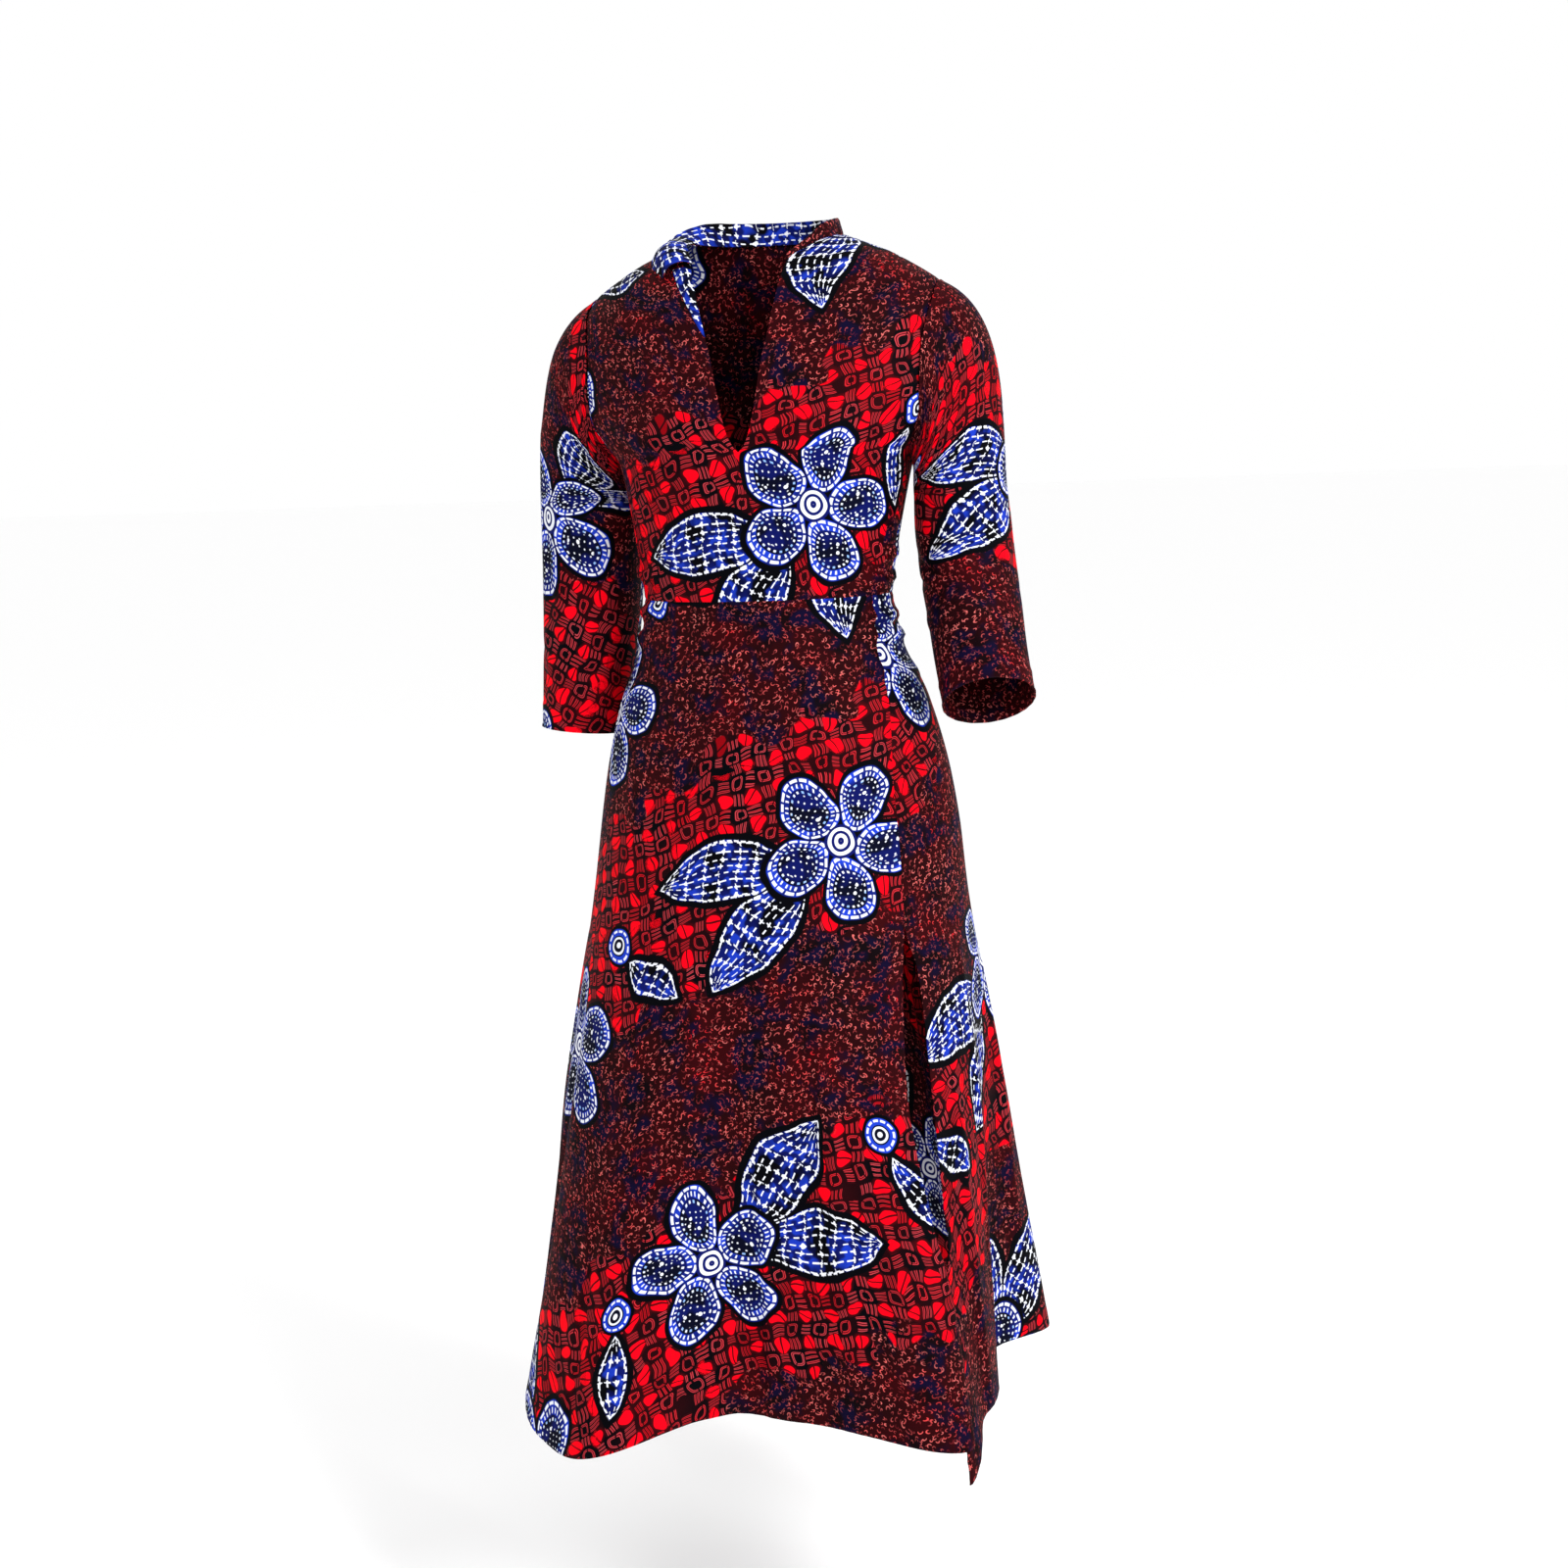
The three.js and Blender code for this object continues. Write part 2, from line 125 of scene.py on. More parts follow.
# Skirt flutes: angle, reach to smaller and larger angles, height out at the hem, where each starts.
FLUTES = table("angle before after height top growth", [
    (-28, 18, 14, 60, -600, 1.5),
    (-46, 36, 20, 60, -560, 1.4),
    (-4, 14, 20, -34, -620, 1.5),
    (14, 20, 18, -20, -620, 1.5),
    (48, 26, 16, 52, -690, 1.4),
    (91, 31, 20, -66, -600, 1.3),
    (112, 12, 18, 8, -640, 1.2),
    (134, 18, 18, -26, -560, 1.3),
    (156, 18, 16, 30, -540, 1.3),
    (180, 20, 20, -20, -560, 1.3),
    (-154, 18, 18, 30, -540, 1.3),
    (-128, 20, 20, -26, -560, 1.3),
    (-102, 20, 22, 16, -580, 1.3),
])
HEM_DIPS = table("angle before after depth", [
    (-38, 30, 26, 30),
    (52, 24, 20, 14),
    (98, 16, 30, -10),
])

# Edge of the V and of the front neckline on the wearer's left and right, as x.
NECK_EDGE = table("z left right", [
    (-213, 4, 4),
    (-208, 9, -1),
    (-192, 15, -9),
    (-158, 21, -18),
    (-125, 25, -26),
    (-99, 30, -34),
    (-68, 35, -44),
    (-41, 39, -54),
    (-25, 43, -60),
    (-14, 57, -67),
    (-8, 66, -72),
    (-4, 73, -77),
    (-1, 80, -82),
])

# The seam that ends in the slit, then the slit's two edges, in degrees.
SLIT = table("z front_edge side_edge", [
    (-360, 74, 74),
    (-462, 67, 67),
    (-541, 61, 61),
    (-612, 58.5, 58.5),
    (-676, 56.3, 56.3),
    (-725, 53, 58.5),
    (-856, 48.5, 56.5),
    (-947, 50, 55.2),
    (-1041, 53.2, 54.2),
    (-1195, 51.5, 51.9),
])

# Sleeve sections below the armhole: centre, sideways and fore-and-aft radius.
SLEEVE_LEFT = table("x y z across deep", [
    (197, -8, -262, 46, 56),
    (199, -8, -301, 48, 56),
    (204, -15, -341, 48, 54),
    (212, -29, -381, 47, 52),
    (220, -47, -420, 46, 50),
    (233, -76, -467, 45, 47),
])
SLEEVE_RIGHT = table("x y z across deep", [
    (-199, -6, -258, 54, 56),
    (-203, -4, -328, 53, 54),
    (-209, -2, -395, 51, 52),
    (-216, -1, -450, 48, 50),
    (-221, -2, -501, 46, 49),
])

# Collar along the neckline, left front end to right front end: height and outward lean in degrees.
COLLAR = table("along height lean", [
    (0, 4, -8),
    (0.07, 9, -16),
    (0.15, 17, -20),
    (0.3, 21, -10),
    (0.5, 23, -2),
    (0.66, 24, 8),
    (0.74, 30, 58),
    (0.82, 40, 108),
    (0.91, 46, 124),
    (1, 34, 122),
])

# Folds placed on bodice and skirt, from end to end: half width, height out and sideways bow.
FOLD_COLUMNS = "angle0 z0 angle1 z1 width height bow"
BODY_FOLDS = table(FOLD_COLUMNS, [
    # drag lines from the armholes towards the bust
    (66, -150, 46, -196, 13, 2.4, 4),
    (64, -176, 50, -226, 10, -1.8, -3),
    (-70, -140, -48, -190, 14, 2.2, -4),
    (-64, -184, -44, -214, 9, -1.6, 3),
    # tension under the point of the V, and from the bust to the waist
    (1, -218, -3, -312, 15, 1.6, 3),
    (17, -250, 22, -356, 14, -1.8, -4),
    (-16, -262, -24, -358, 12, -1.5, 3),
    (38, -256, 34, -356, 16, 1.8, 2),
    (-40, -270, -34, -352, 13, 1.6, -2),
    # darts
    (27, -247, 25, -362, 2.6, -0.9, 0),
    (-27, -249, -25, -362, 2.6, -0.9, 0),
    # the waist bunches at both sides
    (52, -326, 106, -318, 9, 3.6, 3),
    (60, -350, 118, -346, 9, 3.4, -2),
    (48, -376, 110, -382, 9, 5.2, 3),
    (58, -400, 114, -409, 10, 5.0, -3),
    (56, -427, 104, -441, 12, 3.6, 4),
    (-54, -338, -108, -330, 11, 5.0, 3),
    (-58, -366, -114, -374, 10, 5.6, -3),
    (-52, -396, -104, -407, 13, 5.2, 3),
    # back bodice: shoulder blades, small of the back
    (124, -90, 148, -190, 26, 2.6, 6),
    (-122, -96, -150, -186, 24, 2.4, -6),
    (142, -262, 118, -318, 13, 2.2, 4),
    (-146, -270, -120, -312, 12, 2.0, -4),
    (128, -334, 172, -328, 10, 2.8, 3),
    (-172, -338, -126, -346, 10, 2.6, -3),
    (120, -376, 166, -384, 11, 2.4, 3),
    (-168, -380, -124, -372, 12, 2.6, -3),
    # hips and the pull towards the top of the slit
    (70, -500, 59, -650, 16, 2.0, 4),
    (46, -560, 55, -668, 13, -1.6, -3),
    (30, -470, 44, -600, 20, 1.2, 5),
    (-62, -480, -48, -640, 22, 1.4, -6),
    # smaller folds between the flutes of the skirt front
    (-14, -742, -18, -1190, 20, 6.0, 8),
    (4, -860, 7, -1180, 17, 5.0, -6),
    (26, -700, 30, -1180, 19, 7.0, 6),
    (38, -840, 37, -1185, 12, -4.0, 4),
    (-60, -760, -64, -1180, 20, -6.0, -6),
    (-76, -700, -78, -1175, 18, 5.0, 5),
    (-38, -930, -37, -1200, 9, -3.5, 3),
    # skirt back left and right
    (66, -820, 65, -1180, 12, 4.0, 3),
    (78, -700, 76, -1165, 14, 4.5, -4),
    (104, -730, 103, -1165, 14, 5.0, 5),
    (122, -640, 124, -1168, 17, 5.5, -5),
    (146, -690, 144, -1170, 13, -4.5, 4),
    (168, -620, 169, -1170, 16, 5.5, 5),
    (-170, -660, -168, -1170, 15, 5.0, -4),
    (-142, -640, -141, -1170, 17, -5.0, 5),
    (-116, -700, -114, -1170, 15, 5.5, -5),
    (-94, -650, -92, -1172, 14, -4.0, 4),
])

# Folds of the sleeves in the same way: places round the arm in degrees, 0 on its outer side and 90 in front.
SLEEVE_LEFT_FOLDS = table(FOLD_COLUMNS, [
    (150, -196, 40, -262, 11, 2.6, 7),
    (168, -232, 70, -300, 10, 2.2, -5),
    (-150, -190, -60, -250, 12, 2.4, 6),
    (172, -318, 62, -352, 9, 3.4, -6),
    (188, -346, 76, -384, 8, 3.0, 5),
    (176, -384, 92, -404, 8, -2.2, -4),
    (-96, -330, -12, -372, 15, 2.2, 6),
    (-128, -380, -36, -430, 14, 2.4, -6),
    (20, -380, 52, -452, 12, 2.0, 4),
    (28, -110, 22, -196, 16, 1.8, 3),
])
SLEEVE_RIGHT_FOLDS = table(FOLD_COLUMNS, [
    (152, -190, 52, -252, 12, 2.4, -6),
    (172, -224, 84, -296, 10, 2.0, 5),
    (-148, -196, -62, -262, 12, 2.6, -6),
    (46, -236, 58, -420, 15, 2.8, 6),
    (104, -290, 96, -470, 12, -2.6, -5),
    (150, -330, 84, -366, 9, 2.4, 4),
    (-20, -300, -34, -450, 16, 2.0, -6),
    (-96, -340, -120, -402, 13, 2.2, 4),
    (10, -400, 44, -462, 10, 1.8, -4),
    (30, -106, 24, -186, 16, 1.8, 3),
])


# ---- Small helpers ----
def mix(a, b, t):
    return a + (b - a) * t


def eased(t, start, leave, end, arrive):
    """A smooth path from start to end, which leaves and arrives in these directions."""
    return (
        (2 * t**3 - 3 * t**2 + 1) * start
        + (t**3 - 2 * t**2 + t) * leave
        + (3 * t**2 - 2 * t**3) * end
        + (t**3 - t**2) * arrive
    )


def sample(rows, key, value):
    """Smooth values of every column at places along a table, without overshoot between rows."""
    place = rows[key]
    sign = np.sign(place[1] - place[0])
    value = np.asarray(value, float)
    i = np.clip(np.searchsorted(sign * place, sign * value, side="right") - 1, 0, len(place) - 2)
    span = place[i + 1] - place[i]
    t = np.clip((value - place[i]) / span, 0, 1)
    result = {}
    for name, column in rows.items():
        edge = np.diff(column) / np.diff(place)
        product = edge[:-1] * edge[1:]
        total = np.where(product > 0, edge[:-1] + edge[1:], 1)
        slope = np.concatenate([edge[:1], np.where(product > 0, 2 * product / total, 0), edge[-1:]])
        result[name] = eased(t, column[i], span * slope[i], column[i + 1], span * slope[i + 1])
    return result


def hump(offset, before, after):
    """1 at its middle and 0 at each reach."""
    t = np.abs(offset) / np.where(offset < 0, before, after)
    return np.where(t < 1, (1 + np.cos(np.pi * np.minimum(t, 1))) / 2, 0)


def turn(angle):
    return (angle + 540) % 360 - 180


def each(rows):
    """The rows of a table, one dictionary after another."""
    for values in zip(*rows.values()):
        yield dict(zip(rows, values))


def unit(vectors):
    return vectors / np.linalg.norm(vectors, axis=-1, keepdims=True)


def spread(length, step):
    """Fractions from 0 to 1 along an edge this long, finer towards both ends."""
    ends = EDGE_STEPS / length
    count = max(2, round((length - 2 * EDGE_STEPS[-1]) / step) + 1)
    middle = np.linspace(ends[-1], 1 - ends[-1], count)
    return np.concatenate([ends[:-1], middle, 1 - ends[-2::-1]])


def fold_height(folds, across, z, radius):
    """Height that listed folds add at places given by angle and height."""
    height = np.zeros(np.broadcast(across, z).shape)
    for fold in each(folds):
        scale = math.radians(1) * radius(mix(fold["z0"], fold["z1"], 0.5))
        run = np.array([turn(fold["angle1"] - fold["angle0"]) * scale, fold["z1"] - fold["z0"]])
        length = np.hypot(*run)
        dx = turn(across - fold["angle0"]) * scale
        dz = z - fold["z0"]
        t = (dx * run[0] + dz * run[1]) / length**2
        inside = np.clip(t, 0, 1)
        aside = (dx * run[1] - dz * run[0]) / length - fold["bow"] * 4 * inside * (1 - inside)
        taper = np.where((t > 0) & (t < 1), np.sin(np.pi * inside) ** 0.7, 0)
        height += fold["height"] * taper * hump(aside, 1.25 * fold["width"], 0.8 * fold["width"])
    return height


# ---- The body surface that all the panels share ----
def body_half(z):
    return float(sample(BODY, "z", z)["half"])


def body_point(angle, z):
    angle, z = np.broadcast_arrays(np.asarray(angle, float), np.asarray(z, float))
    row = sample(BODY, "z", z)
    a = np.radians(angle)
    depth = np.where(np.cos(a) > 0, row["seam"] - row["front"], row["back"] - row["seam"])
    across = np.abs(np.sin(a)) / row["half"]
    along = np.abs(np.cos(a)) / depth
    r = (across ** row["power"] + along ** row["power"]) ** (-1 / row["power"])
    for flute in each(FLUTES):
        grown = np.clip((flute["top"] - z) / (flute["top"] - HEM_Z), 0, 1.2) ** flute["growth"]
        r = r + flute["height"] * grown * hump(turn(angle - flute["angle"]), flute["before"], flute["after"])
    around_bust = hump(np.abs(turn(angle)) - BUST_ANGLE, BUST_REACH, BUST_REACH)
    bust = around_bust * hump(z - BUST_Z, BUST_RISE, BUST_RISE)
    r = r + BUST_HEIGHT * bust + fold_height(BODY_FOLDS, angle, z, body_half)
    return np.stack([r * np.sin(a), row["seam"] - r * np.cos(a), z], -1)


def body_normal(angle, z):
    across = body_point(angle + 0.3, z) - body_point(angle - 0.3, z)
    up = body_point(angle, np.minimum(0, z + 0.7)) - body_point(angle, z - 0.7)
    return unit(np.cross(across, up))


def front_angle(x, z):
    """The angle of the point with this x on the front of the section at z."""
    row = sample(BODY, "z", z)
    fraction = np.minimum(1, np.abs(x) / row["half"])
    y = (row["seam"] - row["front"]) * (1 - fraction ** row["power"]) ** (1 / row["power"])
    return np.degrees(np.arctan2(x, y))


def neck_angle(side, z):
    edge = sample(NECK_EDGE, "z", np.maximum(z, V_POINT_Z))[side]
    return front_angle(np.where(z <= V_POINT_Z, V_POINT_X, edge), z)


def armhole_reach(z):
    t = (z - (ARMHOLE_TOP + ARMHOLE_BOTTOM) / 2) / ((ARMHOLE_TOP - ARMHOLE_BOTTOM) / 2)
    return ARMHOLE_REACH * np.sqrt(np.maximum(0, 1 - t * t))


def hem_z(angle):
    drop = np.zeros_like(angle)
    for dip in each(HEM_DIPS):
        drop += dip["depth"] * hump(turn(angle - dip["angle"]), dip["before"], dip["after"])
    return HEM_Z - drop


# ---- Cloth shells ----
def walked(points, axis):
    """Distance walked along one axis of a grid of points."""
    steps = np.linalg.norm(np.diff(points, axis=axis), axis=-1)
    first = np.zeros_like(np.take(steps, [0], axis))
    return np.cumsum(np.concatenate([first, steps], axis), axis)


def edge_finish(points, sides, hems):
    """How far cloth sinks at its seams and edges, and how thick its turned hems are.

    sides has a flag for the first row, last row, first column and last column that are edges. hems has the
    depth of the turned allowance at each of them.
    """
    down = walked(points, 0)
    along = walked(points, 1)
    places = [(down, along), (down[-1:] - down, along), (along, down), (along[:, -1:] - along, down)]
    sink = np.zeros(points.shape[:2])
    thick = np.full(points.shape[:2], CLOTH)
    for k, ((distance, run), side, hem) in enumerate(zip(places, sides, hems)):
        if not side:
            continue
        pucker = 0.22 * np.sin(run / 2.3 + 1.7 * np.sin(run / 19 + k)) * np.exp(-((distance / 9) ** 2))
        sink += -0.85 * np.exp(-((distance / 2) ** 2)) + pucker
        if hem:
            turned = np.clip((hem - distance) / 1.5, 0, 1)
            thick = np.maximum(thick, CLOTH + HEM_LAYERS * turned)
            sink += 0.25 * turned - 0.5 * np.exp(-(((distance - hem + 2) / 1.6) ** 2))
    return sink, thick


def unroll(points, turned, shift, cone=None, middle=0.5):
    """Places on the printed cloth, in metres: distance across from a middle column and down it.

    cone is the slant distance from the first row to the point where the panel's sides would meet.
    """
    along = walked(points, 1)
    column = int(round(middle * (points.shape[1] - 1)))
    x = along - along[:, column:column + 1]
    y = -np.broadcast_to(walked(points, 0)[:, column:column + 1], x.shape)
    if cone:
        reach = cone - y
        x, y = reach * np.sin(x / reach), cone - reach * np.cos(x / reach)
    a = math.radians(turned)
    u = x * math.cos(a) - y * math.sin(a) + shift[0]
    v = x * math.sin(a) + y * math.cos(a) + shift[1]
    return np.stack([u, v], -1) * MM


def shell(name, patches):
    """One closed sheet from patches of outer points, normals, inward thickness and print places.

    Patches that share points become one sheet.
    """
    outer = np.concatenate([patch["points"].reshape(-1, 3) for patch in patches])
    normals = np.concatenate([patch["normals"].reshape(-1, 3) for patch in patches])
    thick = np.concatenate([patch["thick"].reshape(-1, 1) for patch in patches])
    places = np.concatenate([patch["print"].reshape(-1, 2) for patch in patches])
    keys = np.round(outer, 3)
    _, first, merged = np.unique(keys, axis=0, return_index=True, return_inverse=True)
    merged = merged.reshape(-1)
    quads = []
    start = 0
    for patch in patches:
        rows, columns = patch["points"].shape[:2]
        index = start + np.arange(rows * columns).reshape(rows, columns)
        corners = [index[:-1, :-1], index[1:, :-1], index[1:, 1:], index[:-1, 1:]]
        quads.append(np.stack([corner.ravel() for corner in corners], 1))
        start += rows * columns
    quads = np.concatenate(quads)
    faces = merged[quads]
    count = len(first)
    edges = {}
    for corner in range(4):
        after = (corner + 1) % 4
        pairs = zip(faces[:, corner], faces[:, after], quads[:, corner], quads[:, after])
        for a, b, place_a, place_b in pairs:
            if a != b:
                edges[(a, b)] = (place_a, place_b)
    rim = [(key, value) for key, value in edges.items() if (key[1], key[0]) not in edges]
    vertices = np.concatenate([outer[first], outer[first] - normals[first] * thick[first]]) * MM
    every = [*faces.tolist(), *(faces[:, ::-1] + count).tolist()]
    corners = [*quads.tolist(), *quads[:, ::-1].tolist()]
    for (a, b), (place_a, place_b) in rim:
        every.append([b, a, a + count, b + count])
        corners.append([place_b, place_a, place_a, place_b])
    every, corners = tidy_faces(every, corners)
    mesh = bpy.data.meshes.new(name)
    mesh.from_pydata(vertices.tolist(), [], every)
    layer = mesh.uv_layers.new(name="PrintUV")
    flat = np.array([place for face in corners for place in face])
    layer.data.foreach_set("uv", places[flat].ravel())
    mesh.polygons.foreach_set("use_smooth", [True] * len(mesh.polygons))
    mesh.set_sharp_from_angle(angle=math.radians(48))
    mesh.update()
    piece = bpy.data.objects.new(name, mesh)
    bpy.context.scene.collection.objects.link(piece)
    return piece


def tidy_faces(faces, corners):
    """Drops the repeated corners of faces that meet at a point."""
    kept_faces = []
    kept_corners = []
    for face, places in zip(faces, corners):
        keep = [k for k in range(len(face)) if face[k] != face[k - 1]]
        if len(keep) > 2:
            kept_faces.append([face[k] for k in keep])
            kept_corners.append([places[k] for k in keep])
    return kept_faces, kept_corners


def grid_normals(points, closed=False):
    """Outward normals of a grid whose rows go down and whose columns go towards the wearer's left."""
    if closed:
        ring = np.concatenate([points[:, -2:-1], points, points[:, 1:2]], 1)
        across = (ring[:, 2:] - ring[:, :-2])
    else:
        across = np.gradient(points, axis=1)
    return unit(np.cross(np.gradient(points, axis=0), across))


def finished(points, normals, places, sides=ALL_EDGES, hems=(0, 0, 0, 0)):
    sink, thick = edge_finish(points, sides, hems)
    return {
        "points": points + normals * sink[..., None],
        "normals": normals,
        "thick": thick,
        "print": places,
    }


# ---- Bodice ----
def bodice_rows(top):
    """Heights from the neckline to the waist, finer at the armhole's ends and at every edge."""
    stops = [top, ARMHOLE_TOP, ARMHOLE_BOTTOM, WAIST_Z]
    rows = [mix(a, b, spread(a - b, GRID)) for a, b in zip(stops, stops[1:])]
    return np.unique(np.concatenate([*rows, [V_POINT_Z]]))[::-1]


def side_angle(z, facing):
    """The side edge of a bodice panel in front (facing 1) or behind (-1), cut away for the armhole."""
    return 90 - facing * (SEAM_HALF + armhole_reach(z))


def bodice_front():
    z = bodice_rows(-1)
    patches = []
    for side in (1, -1):
        edge = neck_angle("left" if side > 0 else "right", z)[:, None]
        outer = side * side_angle(z, 1)[:, None]
        u = spread(FRONT_WIDTH, GRID)[None, :]
        angle = mix(edge, outer, u) if side > 0 else mix(outer, edge, u)
        height = np.broadcast_to(z[:, None], angle.shape)
        points = body_point(angle, height)
        normals = body_normal(angle, height)
        places = unroll(points, *PRINT_PLACES["BodiceFront"], middle=0 if side > 0 else 1)
        patch = finished(points, normals, places, (1, 1, side < 0, side > 0))
        patch["points"] = neck_turn(patch["points"], normals, z, side)
        patches.append(patch)
    return shell("BodiceFront", patches)


def neck_turn(points, normals, z, side):
    """The edge of the V is pressed and rolls inwards; it isn't an edge below the point of the V."""
    along = walked(points, 1)
    distance = along if side > 0 else along[:, -1:] - along
    open_part = np.clip((z - V_POINT_Z) / 6, 0, 1)[:, None]
    roll = -0.8 * np.exp(-((distance / 1.6) ** 2)) - 0.4 * np.exp(-(((distance - 6) / 1.2) ** 2))
    return points + normals * (roll * open_part)[..., None]


def bodice_back(side):
    z = bodice_rows(0)
    outer = side_angle(z, -1)[:, None]
    u = spread(BACK_WIDTH, GRID)[None, :]
    centre = 180 - SEAM_HALF
    angle = mix(outer, centre, u) if side > 0 else mix(-centre, -outer, u)
    height = np.broadcast_to(z[:, None], angle.shape)
    points = body_point(angle, height)
    name = "BodiceBackLeft" if side > 0 else "BodiceBackRight"
    places = unroll(points, *PRINT_PLACES[name], middle=1 if side > 0 else 0)
    return shell(name, [finished(points, body_normal(angle, height), places)])


# ---- Sleeves ----
def sleeve_axis(sections, z):
    """Centre, radii and the two directions across the sleeve at heights below the armhole."""
    here = sample(sections, "z", z)
    ends = sections["z"][[0, -1]]
    above = sample(sections, "z", np.minimum(ends[0], z + 12))
    under = sample(sections, "z", np.maximum(ends[1], z - 12))
    centre = np.stack([here["x"], here["y"], here["z"]], -1)
    along = unit(np.stack([under[k] - above[k] for k in "xyz"], -1))
    forward = np.array([0, -1.0, 0]) + along * along[..., 1:2]
    return centre, here["across"], here["deep"], along, unit(forward)


def sleeve_ring(sections, z, side, around):
    centre, across, deep, along, forward = sleeve_axis(sections, z)
    outward = unit(np.cross(forward, along) * side)
    swing = np.cos(around)[..., None] * across[..., None] * outward
    return centre + swing + np.sin(around)[..., None] * deep[..., None] * forward


def sleeve(name, side, sections, folds):
    around = np.radians(np.linspace(-180, 180, SLEEVE_STEPS))
    middle = (ARMHOLE_TOP + ARMHOLE_BOTTOM) / 2
    half = (ARMHOLE_TOP - ARMHOLE_BOTTOM) / 2
    start = body_point(side * (90 - ARMHOLE_REACH * np.sin(around)), middle + half * np.cos(around))
    top = (1 + np.cos(around)) / 2
    leave = np.stack([side * mix(0.25, 1, top), -0.12 * np.sin(around), mix(-1, -0.42, top)], -1)
    leave = unit(leave)
    start = start + leave * 0.2
    first_z = sections["z"][0]
    end = sleeve_ring(sections, np.full(around.shape, first_z), side, around)
    reach = np.linalg.norm(end - start, axis=-1, keepdims=True)
    arrive = np.array([side * 0.05, 0, -1])
    t = spread(SLEEVE_HEAD, GRID)[:, None, None]
    head = eased(t, start, leave * reach, end, arrive * reach)
    length = first_z - sections["z"][-1]
    z = first_z - length * spread(length, GRID)[1:, None]
    z, turned = np.broadcast_arrays(z, around[None, :])
    points = np.concatenate([head, sleeve_ring(sections, z, side, turned)])
    if side < 0:
        points = points[:, ::-1]
        around = around[::-1]
    normals = grid_normals(points, closed=True)
    height = fold_height(folds, np.degrees(around)[None, :], points[..., 2], lambda _: SLEEVE_RADIUS)
    points = points + normals * height[..., None]
    places = unroll(points, *PRINT_PLACES[name])
    normals = grid_normals(points, closed=True)
    return shell(name, [finished(points, normals, places, (1, 1, 0, 0), HEM_ONLY)])


# ---- Collar and facing ----
def neckline():
    """The neckline from the wearer's left front, round the back, to the wearer's right front."""
    z = np.linspace(-24.99, -1, 26)
    left = body_point(neck_angle("left", z), z)
    right = body_point(neck_angle("right", z), z)[::-1]
    back = body_point(np.linspace(90, 270, 81), 0.0)
    return np.concatenate([left, back, right])


def smooth_line(points, count):
    """Evenly spaced points along a line, with its corners eased."""
    for _ in range(6):
        points = np.concatenate([points[:1], (points[:-2] + 2 * points[1:-1] + points[2:]) / 4, points[-1:]])
    place = walked(points, 0)
    even = np.linspace(0, place[-1], count)
    return np.stack([np.interp(even, place, points[:, k]) for k in range(3)], -1)


def collar():
    line = smooth_line(neckline(), 190)
    place = walked(line, 0)
    row = sample(COLLAR, "along", place / place[-1])
    travel = np.gradient(line, axis=0)
    outward = unit(np.stack([travel[:, 1], -travel[:, 0], np.zeros(len(line))], -1))
    t = spread(60, 3)
    wave = 1.1 * np.sin(place / 21) + 0.7 * np.sin(place / 9.5 + 1)
    columns = []
    position = line - outward * 0.9 - np.array([0, 0, 1.6])
    previous = 0.0
    for here in t:
        lean = np.radians(row["lean"] * (0.45 + 0.95 * here))
        rise = outward * np.sin(lean)[:, None]
        rise[:, 2] = np.cos(lean)
        position = position + rise * ((here - previous) * row["height"])[:, None]
        previous = here
        columns.append(position + outward * (wave * here**2)[:, None])
    points = np.stack(columns[::-1])
    normals = grid_normals(points)
    up = t[::-1, None] * row["height"]
    places = np.stack([np.broadcast_to(place, up.shape), up], -1) * MM
    patch = finished(points, normals, places)
    patch["thick"] = np.full(points.shape[:2], COLLAR_CLOTH)
    piece = shell("Collar", [patch])
    inner = (points.shape[0] - 1) * (points.shape[1] - 1)
    for face in piece.data.polygons[inner:2 * inner]:
        face.material_index = 1
    return piece


def front_facing():
    """The facing of the wearer's right front edge, turned out over the bodice."""
    z = mix(FACING_TOP_Z, FACING_END_Z, spread(FACING_TOP_Z - FACING_END_Z, 2.5))
    width = FACING_WIDTH * np.clip((z - FACING_END_Z) / (COLLAR_END_Z - FACING_END_Z), 0, 1) ** 0.8
    edge = sample(NECK_EDGE, "z", z)["right"]
    inner = front_angle(edge + 0.6, z)[:, None]
    outer = front_angle(edge - np.maximum(width, 1.4), z)[:, None]
    u = spread(FACING_WIDTH, 2)[None, :]
    angle = mix(outer, inner, u)
    height = np.broadcast_to(z[:, None], angle.shape)
    normals = body_normal(angle, height)
    lift = CLOTH + 0.4 + 2.6 * hump(u - 0.62, 0.62, 0.38) * (width / FACING_WIDTH)[:, None]
    points = body_point(angle, height) + normals * lift[..., None]
    places = unroll(points, *PRINT_PLACES["FrontFacing"])
    return shell("FrontFacing", [finished(points, grid_normals(points), places)])


# ---- Skirt ----
def skirt_panel(name, width, from_angle, to_angle, corner_drop=None):
    v = spread(WAIST_Z - HEM_Z, SKIRT_GRID)[:, None]
    u = spread(width, SKIRT_GRID)[None, :]
    top = WAIST_Z - SEAM_GAP / 4
    level = mix(top, HEM_Z, v)
    start = from_angle(level)
    angle = mix(start, to_angle(level), u)
    z = mix(top, hem_z(angle), v)
    if corner_drop:
        below = np.clip((SLIT_TOP_Z - level) / (SLIT_TOP_Z - HEM_Z), 0, 1) ** 2
        z = z - below * corner_drop(angle - start)
    points = body_point(angle, z)
    normals = body_normal(angle, z)
    if corner_drop:
        behind = TUCK_DEPTH * tucked(level) * np.exp(-((walked(points, 1) / TUCK_REACH) ** 2))
        points = points - normals * behind[..., None]
    turned, shift, cone = PRINT_PLACES[name]
    places = unroll(points, turned, shift, cone)
    return shell(name, [finished(points, normals, places, ALL_EDGES, HEM_ONLY)])


